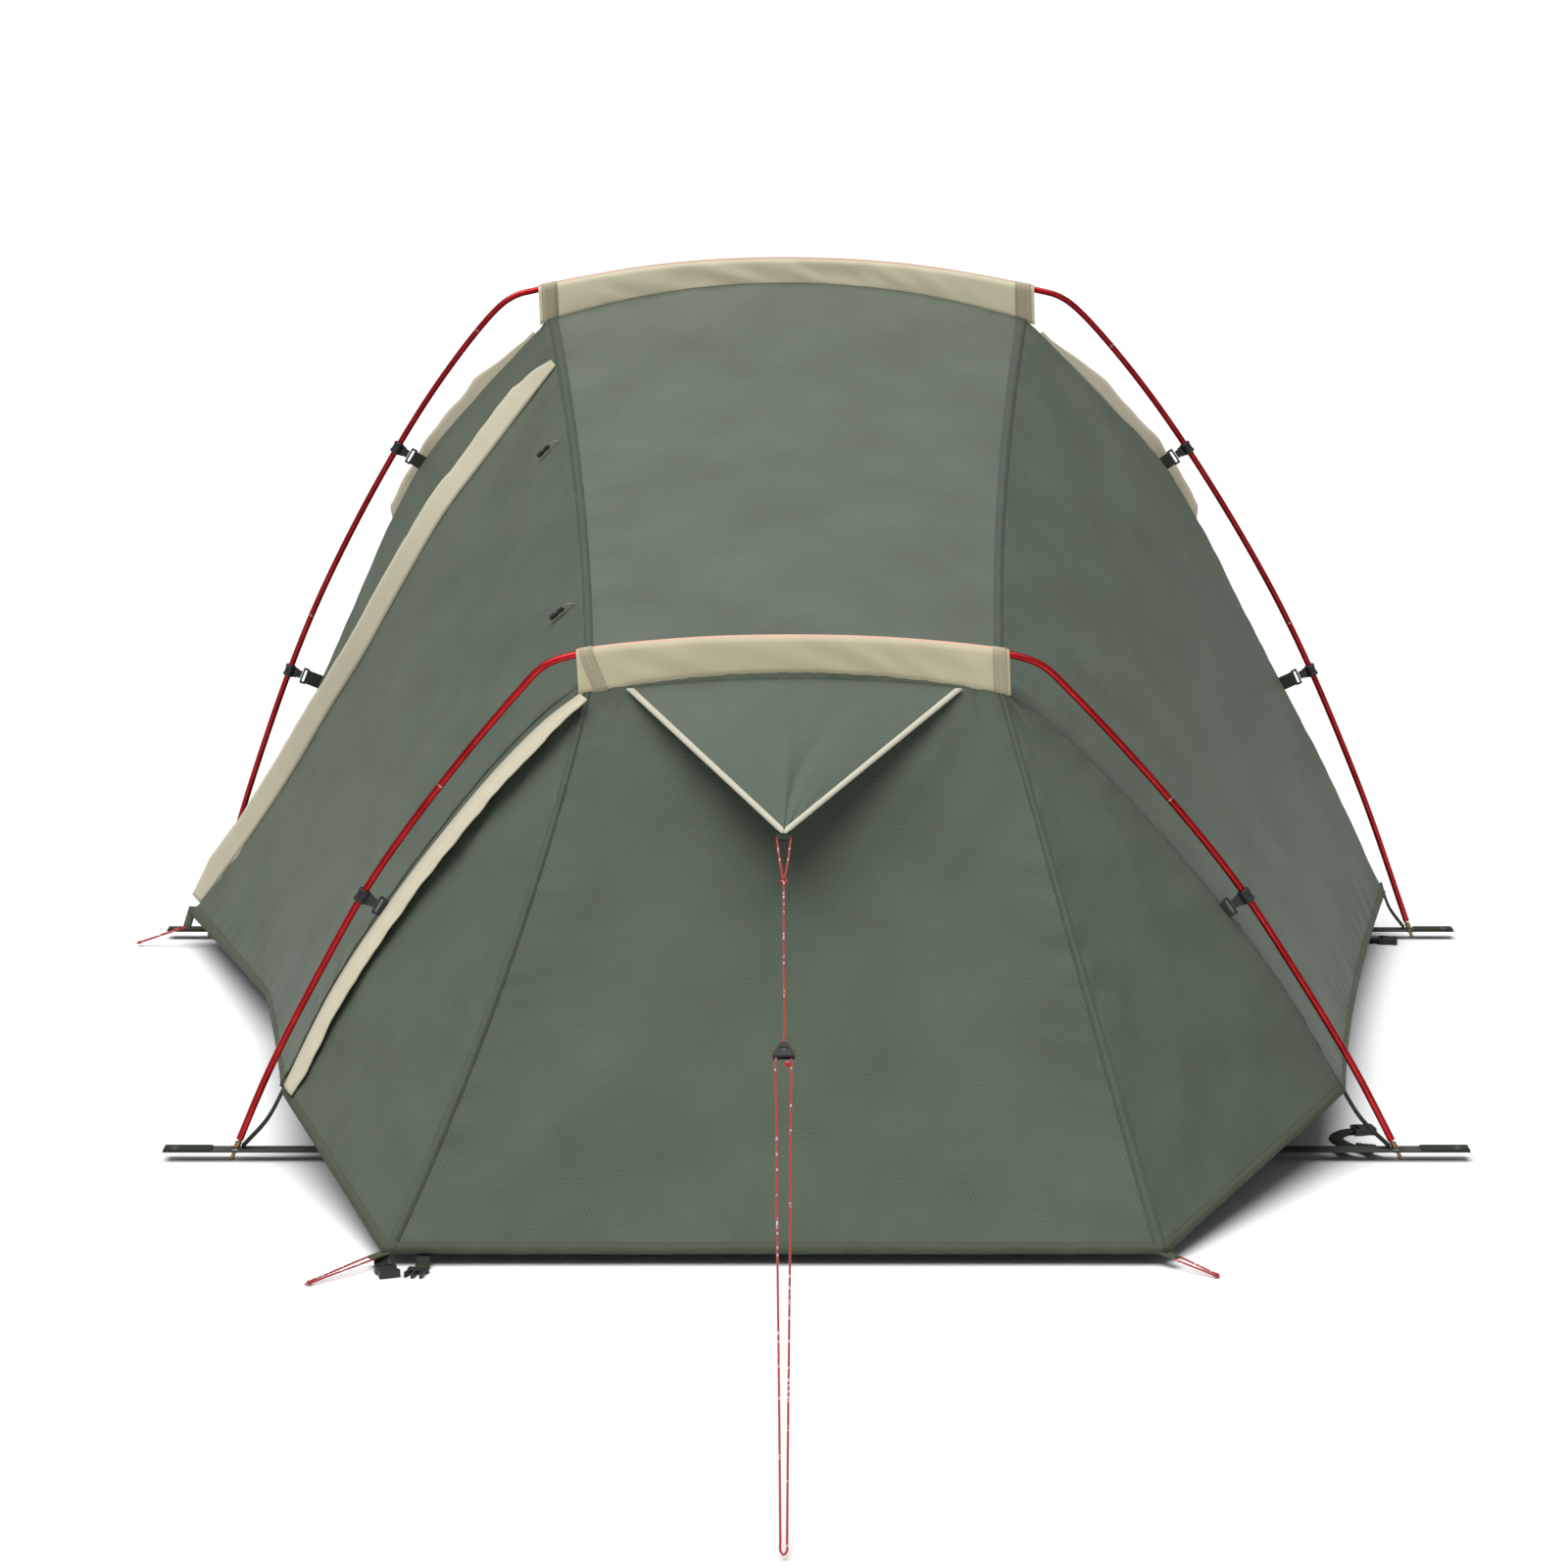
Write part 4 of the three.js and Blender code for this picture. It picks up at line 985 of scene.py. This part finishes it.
def sleeve_shape(hoop, extra=0.0):
    """The folded sleeve: up one face, over the tube and down the other; extra lays it on top of itself."""
    shares = np.linspace(0.02, 0.98, 6000)
    upright = hoop.line(shares)[:, 0] - hoop.sway * hoop.line(shares)[:, 2]

    def shape(u, v):
        across = 2 * v - 1
        crown = hoop.line(np.interp(across * hoop.sleeve, upright, shares))
        z = hoop.crown - (hoop.crown - hoop.edge) * (across * hoop.sleeve / hoop.half) ** 2 - 0.0045
        foot = np.stack([across * hoop.sleeve + hoop.sway * z, np.full(len(v), hoop.y), z], axis=1)
        up = crown - foot
        tall_part = np.linalg.norm(up, axis=1, keepdims=True)
        up /= tall_part
        radius = TUNNEL + extra
        turn = np.clip((u - FACE) / (1 - 2 * FACE), 0, 1)[:, None] * math.pi - math.pi / 2
        out = np.array([0, 1, 0])
        over = crown + up * np.cos(turn) * radius + out * np.sin(turn) * radius
        rise = np.clip(np.minimum(u, 1 - u) / FACE, 0, 1)[:, None]
        side = np.where(u < 0.5, -1, 1)[:, None]
        flank = foot + up * tall_part * rise + out * side * ((FOOT_HALF + extra) * (1 - rise) + radius * rise)
        return np.where(((u > FACE) & (u < 1 - FACE))[:, None], over, flank)
    return shape


for hoop, drop in ((tall, 0.094), (low, 0.096)):
    size = (drop, 2 * hoop.sleeve + 0.01)
    base = sleeve_shape(hoop)

    def slack(u, v, size=size, seed=hoop.y * 10):
        # Slack wrinkles 40 mm apart run slantwise down each face and die out at the sleeve's ends.
        face = np.sin(math.pi * np.clip(np.minimum(u, 1 - u) / FACE, 0, 1))
        fine = wander((v * size[1] + u * 0.16) / 0.040, u * 1.6, seed)
        return face * WRINKLE * fine * np.clip(np.minimum(v, 1 - v) / 0.09 - 0.4, 0, 1)

    def shape(u, v, base=base, slack=slack):
        place = base(u, v)
        place[:, 1] += np.where(u < 0.5, -1, 1) * slack(u, v)
        return place

    sleeve = lay_sheet(f"{hoop.name}_sleeve_cloth", shape, size, sleeve_cloth[hoop.name], "trim", cell=0.006,
                       gauge=0.0008)
    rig.replaces(sleeve, f"{hoop.name}_sleeve")
    bands = []
    for hand, side in HANDS.items():
        outer = sleeve_shape(hoop, BAND_LIFT)
        span = (0.994, 0.962) if side > 0 else (0.006, 0.038)
        slant = 0.031 if hoop is low and hand == "left" else 0.0

        def band_shape(u, v, outer=outer, span=span, slant=slant):
            return outer(v, span[0] + (span[1] - span[0]) * u + slant * np.clip(1 - v / 0.4, 0, 1))

        bands.append(lay_sheet(f"{hoop.name}_sleeve_{hand}_band", band_shape, (BAND_WIDTH, drop), sleeve_band,
                               "trim", cell=0.005, gauge=0.0009))
    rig.sheet(sleeve, flat=size, held="folded", rests_on=["roof_sheet"], with_pieces=bands)


# ---- Zip flaps ----
# Beige flaps sewn along the side door's zips: the rear one stands off the fly, the front one lies on the left
# side piece. Each is hemmed with a double row. Another pair guards the rear doors' zips behind the tall hoop.

# Lighter than the sleeves, as nothing lies behind it; its two rows of stitches show as dashes.
flap_cloth = woven("hemmed flap polyester", "#cdc6ae", 0.7, rows=(-0.0145, 0.0145), mottle=(0.93, 1.05))


def beside(u, offset):
    """Places down the side door's rear zip, offset ahead of it."""
    return left_rib(u, zip_share(u) + offset / SPAN)


REAR_FLAP = (0.036, 1.08)
fin_lean = unit((-0.72, 0.45, 0.53))


def rear_flap_shape(u, v):
    run = 0.004 + 0.981 * v
    top, foot = np.clip(v / 0.06, 0, 1), np.clip((1 - v) / 0.05, 0, 1)
    width = REAR_FLAP[0] * (0.30 + 0.70 * top) * (0.55 + 0.45 * foot)
    wave, ripple = wander(v * 16, 0.5, 3.3), wander(v * 45, 4.5, 1.3)
    base = beside(run, -0.002) + fin_lean * 0.0016
    sway = np.array([0.2, 0.2, 0.9]) * ((wave * 0.010 + ripple * 0.003) * u)[:, None]
    return base + fin_lean * (width * u)[:, None] + sway


rear_flap = lay_sheet("side_door_rear_flap_cloth", rear_flap_shape, REAR_FLAP, flap_cloth, "trim", cell=0.006)
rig.replaces(rear_flap, "side_door_rear_flap")
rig.sheet(rear_flap, flat=REAR_FLAP, held="hung", rests_on=["tall_hoop_strip_sheet"])

FRONT_FLAP = (0.048, 0.80)
gusset_out = np.array([-0.69, -0.48, 0.52])  # square to the left side piece
gusset_across = np.array([0.42, -0.9, -0.14])  # in its plane, away from the low hoop


def front_flap_shape(u, v):
    run = 0.012 + 0.973 * v
    edge = wall_edge(low, -1)(run)
    ripple = wander(v * 26, u * 1.4, 7.7)
    top, foot = np.clip(v / 0.12, 0, 1), np.clip((1 - v) / 0.05, 0, 1)
    width = 0.002 + u * FRONT_FLAP[0] * (0.60 + 0.40 * top) * (0.8 + 0.2 * foot)
    lift = 0.0032 + 0.0040 * np.sin(math.pi * u * 0.75) + 0.0022 * ripple * u
    return edge + gusset_across * width[:, None] + gusset_out * lift[:, None]


front_flap = lay_sheet("side_door_front_flap_cloth", front_flap_shape, FRONT_FLAP, flap_cloth, "trim", cell=0.006)
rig.replaces(front_flap, "side_door_front_flap")
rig.sheet(front_flap, flat=FRONT_FLAP, held="hung", rests_on=["front_left_sheet"])

BACK_FLAP = (0.026, 0.42)
for hand, side in HANDS.items():
    def back_flap_shape(u, v, hand=hand, side=side):
        run = 0.03 + 0.37 * v
        base = end_rib(tall, hand, REAR_HEM, run, REAR_ZIP)
        width = BACK_FLAP[0] * np.clip(np.minimum(v / 0.3, (1 - v) / 0.07), 0.15, 1) ** 0.8
        lean = unit((side * 0.82, 0.25, 0.5))
        return base + lean * (0.0015 + width * u * (1 + 0.2 * wander(v * 9, side, 5.1)))[:, None]

    back_flap = lay_sheet(f"rear_{hand}_zip_flap", back_flap_shape, BACK_FLAP, flap_cloth, "trim", cell=0.006)
    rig.sheet(back_flap, flat=BACK_FLAP, held="hung", rests_on=["rear_sheet"])


# ---- Zips ----
# Coil zips in dark tape, sewn to the fly under the side door's two edges and under the rear doors' front edges. The
# front one's tape is a wide underlap of ripstop, so that no slit shows beside the flap.

# Dark tape, matt and faintly ribbed.
zip_tape = woven("coil zip tape", "#3c423a", 0.75, ribs=0.0018, mottle=(0.9, 1.1))
# The fly's own cloth, with one row of stitches along its free edge.
underlap = woven("zip underlap ripstop", "#5c665a", 0.55, rows=(0.010,), mottle=(0.84, 1.14))
UNDERLAP = (0.050, 0.80)
REAR_TAPE = (0.026, 1.10)
BACK_TAPE = (0.016, 1.10)


def front_zip_shape(u, v):
    run = 0.02 + 0.975 * v
    return left_rib(run, 1 - UNDERLAP[0] * (1 - u) / SPAN) + np.array([0.0011, 0, -0.0010])


def rear_zip_shape(u, v):
    run = 0.012 + 0.98 * v
    return beside(run, -0.010 + REAR_TAPE[0] * u) + np.array([0.0032, 0, -0.0028])


front_zip = lay_sheet("side_door_front_zip_tape", front_zip_shape, UNDERLAP, underlap, cell=0.010)
rear_zip = lay_sheet("side_door_rear_zip_tape", rear_zip_shape, REAR_TAPE, zip_tape, cell=0.010)
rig.sheet(front_zip, flat=UNDERLAP, held="stretched", rests_on=["front_left_sheet"])
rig.sheet(rear_zip, flat=REAR_TAPE, held="stretched", rests_on=["tall_hoop_strip_sheet"])

for hand, side in HANDS.items():
    def rear_tape_shape(u, v, hand=hand, side=side):
        under = np.array([-side * 0.0022, 0, -0.0022])
        return end_rib(tall, hand, REAR_HEM, 0.004 + 0.99 * v, REAR_ZIP - 0.008 + 0.020 * u) + under

    rear_tape = lay_sheet(f"rear_{hand}_zip_tape", rear_tape_shape, BACK_TAPE, zip_tape, cell=0.012)
    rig.sheet(rear_tape, flat=BACK_TAPE, held="stretched", rests_on=["rear_sheet"])


# ---- Vent hood ----
# A three-cornered hood of ripstop sewn in under the low sleeve and bound in folded beige tape. Its point has a
# webbing tab, from which the guyline holds it out over the vent.
HOOD = (0.43, 0.26)
# It faces the sky more than the front panel does, so it is a shade lighter.
hood_cloth = woven("hood ripstop nylon", "#626c60", 0.55, hexagon=0.0062, mottle=(0.84, 1.14))
# Pale tape, folded thick enough to stand up as a cord-like edge.
binding = woven("folded binding tape", "#ccc8b6", 0.7, rows=(-0.003,), mottle=(0.95, 1.04))
BINDING = (0.0095, 0.28)


def hood_shape(u, v):
    t = 2 * u - 1
    z = 0.644 - 0.013 * t * t
    top = np.stack([0.216 * t + low.sway * z, np.full(len(u), low.y - 0.010), z], axis=1)
    place = top + (hood_point - top) * (0.985 * v)[:, None]
    belly = np.sin(math.pi * v) * (1 - t * t)
    return place + np.array([0, -0.010, 0.004]) * belly[:, None]


hood_surface = rumpled(hood_shape, HOOD, 14, pucker=0.0008, wave=0.002,
                       creases=[((0.5, 0.98), (0.47, 0.15), 0.003, 0.02), ((0.5, 0.98), (0.68, 0.2), -0.003, 0.02)])
hood = lay_sheet("vent_hood_cloth", hood_surface, HOOD, hood_cloth, cell=0.008)
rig.replaces(hood, "vent_hood")


def hood_binding(side):
    def shape(u, v):
        edge = hood_shape(np.full(len(v), 0.5 + side * 0.5), v)
        inner = hood_shape(np.full(len(v), 0.5), v)
        run = np.clip(np.linalg.norm(inner - edge, axis=1), 0.004, 1)
        toward = (inner - edge) / run[:, None]
        depth = np.minimum(BINDING[0], run)
        return edge + toward * (depth * u)[:, None] + np.array([0, -0.0012, 0.0006])
    return shape


bindings = [lay_sheet(f"hood_{hand}_binding", hood_binding(side), BINDING, binding, "trim", cell=0.005,
                      gauge=0.0028) for hand, side in HANDS.items()]
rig.sheet(hood, flat=HOOD, held="stretched", rests_on=["low_sleeve"], area=0.056, with_pieces=bindings)
TAB = (0.019, 0.019)


def tab_shape(u, v):
    return on_guy(0, 0) + guy_side * ((u - 0.5) * TAB[0])[:, None] + guy_down * (-0.010 + TAB[1] * v)[:, None]


lay_webbing("guyline_tab", tab_shape, TAB, 0.0022)


# ---- Pole clips ----
# Black moulded collars that snap round the poles and turn on them. Each one's tongue is linked to a slim
# rectangular ring, and a fold of webbing sewn to the fly's edge holds the ring.
# Charcoal black and half matt: the mould's spark texture is 0.1 mm fine, drawn at 0.6 mm, so that it shows.
acetal = grained("spark-textured acetal", "#242526", (0.7, 1.35), 1600, detail=2, satin=(0.36, 0.56),
                 relief=(0.15, 0.0001), Roughness=0.45, IOR=1.48)


def plate(name, outline, gauge, rounding, matrix, body, hole=None):
    """A moulded plate: a flat outline, with a hole if it has one, given its thickness and its soft edges."""
    mesh = bmesh.new()
    for points in filter(None, (outline, hole)):
        verts = [mesh.verts.new((x, y, 0)) for x, y in points]
        for a, b in zip(verts, verts[1:] + verts[:1]):
            mesh.edges.new((a, b))
    bmesh.ops.triangle_fill(mesh, edges=mesh.edges, use_beauty=True, use_dissolve=True, normal=(0, 0, 1))
    mesh.transform(matrix)
    data = bpy.data.meshes.new(name)
    mesh.to_mesh(data)
    piece = finish_piece(name, data, acetal, body, "acetal")
    wall = piece.modifiers.new("gauge", "SOLIDIFY")
    wall.thickness = gauge
    wall.offset = 0
    soft = piece.modifiers.new("soft edges", "BEVEL")
    soft.width = rounding
    soft.segments = 2
    soft.limit_method = "ANGLE"
    soft.angle_limit = math.radians(40)
    soft.harden_normals = True
    return piece


def rectangle(x0, x1, y0, y1):
    return [(x0, y0), (x1, y0), (x1, y1), (x0, y1)]


COLLAR_HALF = [(0.00515, 0.0090), (0.0078, 0.0090), (0.0085, 0.0083), (0.0085, 0.0048), (0.0076, 0.0042)]
COLLAR = [(r, -z) for r, z in COLLAR_HALF] + COLLAR_HALF[::-1] + [(0.00515, -0.0090)]
TONGUE = [(0.0070, -0.0080), (0.0120, -0.0080), (0.0145, -0.0062), (0.0200, -0.0062), (0.0200, 0.0062),
          (0.0145, 0.0062), (0.0120, 0.0080), (0.0070, 0.0080)]
RING = rectangle(0.0207, 0.0305, -0.0130, 0.0130)
RING_EYE = rectangle(0.0236, 0.0270, -0.0097, 0.0097)
FOLD_START = 0.0272  # from the pole's middle to the bar of the ring that the webbing is folded over
FOLD_WIDTH = 0.022
for spot, hoop, height in (("upper", tall, 0.800), ("lower", tall, 0.442), ("leg", low, 0.357)):
    for hand, side in HANDS.items():
        clip = f"{hoop.name}_{hand}_{spot}_clip"
        point, rise = pole_at(hoop, side, height)
        inward = -side * np.cross((0, 1, 0), rise)
        stand = Matrix((inward, np.cross(rise, inward), rise)).transposed().to_4x4()
        stand.translation = point
        flat = stand @ Matrix.Rotation(math.pi / 2, 4, "X")
        collar = turned(f"{clip}_snap_collar", COLLAR, stand, acetal, f"{clip}_collar", "acetal")
        plate(f"{clip}_tongue", TONGUE, 0.003, 0.0006, flat, f"{clip}_collar")
        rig.replaces(collar, f"{clip}_collar")
        plate(f"{clip}_ring", RING, 0.0032, 0.0009, flat, "tent", hole=RING_EYE)
        edge = wall_edge(hoop, side)(np.linspace(0, 1, 501)) - point
        fold_length = float((edge[np.abs(edge @ rise) < 0.012] @ inward).min()) + 0.004 - FOLD_START

        def fold_shape(u, v, point=point, rise=rise, inward=inward, length=fold_length, side=side):
            out = np.cross(rise, inward) * side
            return (point + (FOLD_START + length * v)[:, None] * inward + (FOLD_WIDTH * (u - 0.5))[:, None] * rise
                    + (0.0007 * np.sin(math.pi * v))[:, None] * out)

        fold = lay_webbing(f"{clip}_webbing", fold_shape, (FOLD_WIDTH, fold_length), 0.0024)
        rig.replaces(fold, f"{clip}_strap")


# ---- Corner straps and pegging tabs ----
# Narrow webbing from each foot's grommet up to the fly's corner, which draws the corner down, and short
# folded tabs in the hem that the peg loops run through.
def tape_along(points, width, across=None):
    """A flat tape laid along points: level across, or across a given direction."""
    line = smooth(points)

    def surface(u, v):
        ahead = line(np.minimum(v + 0.01, 1)) - line(np.maximum(v - 0.01, 0))
        sideways = np.cross((0, 0, 1), ahead) if across is None else np.tile(across, (len(v), 1))
        sideways = sideways / np.linalg.norm(sideways, axis=1, keepdims=True)
        return line(v) + sideways * ((u - 0.5) * width)[:, None]
    return surface, (width, line.length)


CORNER_WIDTH = 0.010
for hoop in (tall, low):
    for hand, side in HANDS.items():
        corner = wall_edge(hoop, side)(np.array([0.985]))[0]
        foot = pole_at(hoop, side, STRAP_MIDDLE)[0] + np.array([-side * 0.0085, 0.003, 0.003])
        droop = (corner + foot) / 2 + np.array([-side * 0.004, 0.004, -0.005])
        surface, cut = tape_along([corner, droop, foot], CORNER_WIDTH, across=(side * 0.35, 1.0, 0.2))
        lay_webbing(f"{hoop.name}_{hand}_corner_strap", surface, cut, 0.0014)

PEG_TAB_WIDTH = 0.013
tab_roots = {"rear_left": beside(np.array([1.0]), 0.0)[0], "front_left": np.array(FRONT_HEM["left"]),
             "front_right": np.array(FRONT_HEM["right"])}
for corner, root in tab_roots.items():
    loop_eye = np.array(PEG_LOOPS[corner][0])
    pull = unit(loop_eye - root)
    surface, cut = tape_along([root - pull * HEM_WIDTH, root, loop_eye + pull * 0.002], PEG_TAB_WIDTH)
    lay_sheet(f"{corner}_pegging_tab", surface, cut, hem_tape, "ripstop", cell=0.004, gauge=0.0026)


# ---- Guyline slider ----
# A three-cornered plate moulded in acetal, with a keeper across its wide end. The cord runs through both and grips
# where it turns, so that the slider holds where it is pushed to.
grip = Matrix((guy_side, guy_down, np.cross(guy_side, guy_down))).transposed().to_4x4()
grip.translation = on_guy(0, 0.438)
SLIDER = [(-0.004, -0.012), (0.004, -0.012), (0.0128, 0.009), (0.013, 0.013), (-0.013, 0.013), (-0.0128, 0.009)]
SLIDER_EYE = [(-0.0026, -0.003), (0.0026, -0.003), (0.0045, 0.0035), (-0.0045, 0.0035)]
KEEPER = rectangle(-0.013, 0.013, -0.0027, 0.0033)
KEEPER_SLOT = rectangle(-0.0115, 0.0115, -0.0017, 0.0017)
slider = plate("slider_plate", SLIDER, 0.0034, 0.0009, grip @ Matrix.Translation((0, 0, -0.0034)), "guy_slider",
               hole=SLIDER_EYE)
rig.replaces(slider, "guy_slider")
upright = Matrix.Translation((0, 0.0095, 0)) @ Matrix.Rotation(math.pi / 2, 4, "X")
plate("slider_keeper", KEEPER, 0.005, 0.0006, grip @ upright, "guy_slider", hole=KEEPER_SLOT)


# ---- Side door toggles ----
# Waisted moulded toggles on two short legs of grey cord, sewn in under the roof seam. They hold the door when
# it is rolled up.
# Two greys, woven fine enough to read as one.
toggle_cord = braided("braided grey cord", "#85877f", "#5c5e59", 0.3)
TOGGLE = [(0, 0.0150), (0.0016, 0.0152), (0.0030, 0.0165), (0.0034, 0.0200), (0.0030, 0.0238), (0.0025, 0.0252),
          (0.0030, 0.0268), (0.0036, 0.0310), (0.0032, 0.0376), (0.0022, 0.0393), (0, 0.0396)]
TOGGLE_CORD_RADIUS = 0.0009
for name, share in (("side_door_rear_toggle", 0.33), ("side_door_front_toggle", 0.77)):
    sewn, lower = (left_rib(np.array([u]), share)[0] for u in (0.02, 0.10))
    down = unit(lower - sewn)
    out = np.cross((0, 1, 0), down)
    out *= np.sign(out[2])
    hang = sewn + out * 0.008
    toggle = turned(f"{name}_peg", TOGGLE, frame_at(hang, down), acetal, name, "acetal", steps=20)
    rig.replaces(toggle, name)
    for k, apart in enumerate((-1, 1)):
        leg = [place + np.array([0, half * apart, 0]) for place, half in (
            (sewn, 0.0030), (sewn + out * 0.005 + down * 0.003, 0.0028), (hang + down * 0.009, 0.0020),
            (hang + down * 0.016, 0.0008))]
        places = smooth(leg)(np.linspace(0, 1, 13))
        round_rod(f"{name}_leg_{k + 1}", places, TOGGLE_CORD_RADIUS, toggle_cord, name, "cord")


# ---- Zip slider ----
# The slider of the side door's front zip, moulded in acetal and parked at its foot: a flat nose that rides on the
# coil, with a pull tab hinged to it.
parked, above = (left_rib(np.array([u]), 1 - 0.014 / SPAN)[0] for u in (0.965, 0.75))
up = unit(above - parked)
out = np.cross((0, 1, 0), up)
out *= -np.sign(out[0])
nose = Matrix((np.cross(up, out), up, out)).transposed().to_4x4()
nose.translation = parked + out * 0.001
NOSE = [(-0.004, -0.007), (0.004, -0.007), (0.0045, 0.003), (0.0025, 0.008), (-0.0025, 0.008), (-0.0045, 0.003)]
PULL = [(-0.0016, 0.002), (0.0016, 0.002), (0.0030, -0.020), (-0.0030, -0.020)]
PULL_EYE = [(-0.0012, -0.012), (0.0012, -0.012), (0.0016, -0.017), (-0.0016, -0.017)]
zip_nose = plate("zip_nose", NOSE, 0.0046, 0.0009, nose, "front_zip_slider")
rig.replaces(zip_nose, "front_zip_slider")
plate("zip_pull", PULL, 0.0014, 0.0004, nose @ Matrix.Translation((0, 0, 0.0034)), "front_zip_slider", hole=PULL_EYE)


# ---- Buckles ----
# Open halves of side-release buckles, moulded in acetal, on short webbing sewn to the hem or to a corner strap.
# They lie by the feet: the inner tent clips to them, and it isn't fitted.
SOCKET = [(-0.0130, -0.0010), (-0.0120, 0), (0.0120, 0), (0.0130, -0.0010), (0.0130, -0.0115), (0.0116, -0.0130),
          (0.0116, -0.0225), (0.0130, -0.0240), (0.0130, -0.0285), (0.0115, -0.0300), (-0.0115, -0.0300),
          (-0.0130, -0.0285), (-0.0130, -0.0240), (-0.0116, -0.0225), (-0.0116, -0.0130), (-0.0130, -0.0115)]
PRONG_HALF = [(0.013, 0), (0.013, -0.008), (0.011, -0.008), (0.012, -0.022), (0.010, -0.028), (0.007, -0.022),
              (0.006, -0.011), (0.002, -0.011), (0.002, -0.028)]
PRONG = PRONG_HALF + [(-x, y) for x, y in reversed(PRONG_HALF)]
SOCKET_SLOT = rectangle(-0.009, 0.009, -0.007, -0.003)
PRONG_SLOT = rectangle(-0.009, 0.009, -0.005, -0.002)
# For each half: where its mouth is on the ground, which way it is turned, and where its webbing goes from it.
BUCKLES = {
    "front_left_buckle_socket": ((-0.5240, -1.4674), 0.35, [(-0.529, -1.453, 0.008), (-0.528, -1.446, 0.0135)]),
    "front_left_buckle_prong": ((-0.4810, -1.4700), -0.25, [(-0.478, -1.453, 0.009), (-0.478, -1.445, 0.0135)]),
    "low_right_buckle_socket": ((0.7240, -0.8880), 1.75, [(0.698, -0.914, 0.003), (0.708, -0.955, 0.004),
                                                          (0.733, -0.988, 0.008), (0.742, -1.000, 0.0116)]),
    "low_right_buckle_prong": ((0.7160, -0.9620), 1.30, [(0.694, -0.972, 0.003), (0.700, -0.990, 0.007),
                                                         (0.714, -1.003, 0.0116)]),
    "tall_right_buckle_socket": ((0.9200, 0.1960), 1.40, [(0.893, 0.205, 0.003), (0.896, 0.220, 0.008),
                                                          (0.905, 0.229, 0.0116)]),
}
BUCKLE_WEB = 0.0175
for name, ((x, y), turn, rest) in BUCKLES.items():
    outline, slot, depth, rounding = ((SOCKET, SOCKET_SLOT, 0.009, 0.0016) if name.endswith("socket")
                                      else (PRONG, PRONG_SLOT, 0.006, 0.0009))
    spot = Matrix.Translation((x, y, depth / 2 + 0.0003)) @ Matrix.Rotation(turn, 4, "Z")
    half = plate(f"{name}_shell", outline, depth, rounding, spot, name, hole=slot)
    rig.replaces(half, name)
    heading = np.array([-math.sin(turn), math.cos(turn), 0])
    threaded = [np.array([x, y, depth / 2]) - heading * 0.004, np.array([x, y, 0.0038]) + heading * 0.009]
    surface, cut = tape_along([*threaded, *rest], BUCKLE_WEB)
    lay_webbing(f"{name}_webbing", surface, cut, 0.0013)


# ---- Floor and light ----
# A white studio floor under one broad soft light overhead, which leans a little to the front left, with a weak cool
# fill from all round. The background itself is white.
floor_mesh = bmesh.new()
bmesh.ops.create_grid(floor_mesh, x_segments=1, y_segments=1, size=60)
floor_data = bpy.data.meshes.new("floor")
floor_mesh.to_mesh(floor_data)
floor = bpy.data.objects.new("floor", floor_data)
scene.collection.objects.link(floor)
# Matt white paint, with the faintest unevenness.
paint = grained("matt white floor", "#f7f7f7", (0.985, 1.0), 6, Roughness=0.9, Specular_IOR_Level=0.1)
floor_data.materials.append(paint)
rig.stage(floor)

world = bpy.data.worlds.new("studio")
world.use_nodes = True
scene.world = world
sky = world.node_tree
seen = add(sky, "LightPath")["Is Camera Ray"]
fill = add(sky, "Background", {"Color": linear("#f7fcff"), "Strength": 0.20})[0]
white = add(sky, "Background", {"Color": linear("#ffffff"), "Strength": 1.0})[0]
both = add(sky, "MixShader", {0: seen, 1: fill, 2: white})[0]
sky.links.new(both, sky.nodes["World Output"].inputs["Surface"])

sun_data = bpy.data.lights.new("overhead softbox", "SUN")
sun_data.energy = 3.4
sun_data.angle = math.radians(60)
sun = bpy.data.objects.new("overhead softbox", sun_data)
sun.rotation_euler = (math.radians(9), math.radians(-9), 0)
scene.collection.objects.link(sun)

with open("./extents.json", "w") as out:
    json.dump({"cad": [list(corner) for corner in cad_box], "visual": [list(corner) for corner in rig.bounds()]}, out)
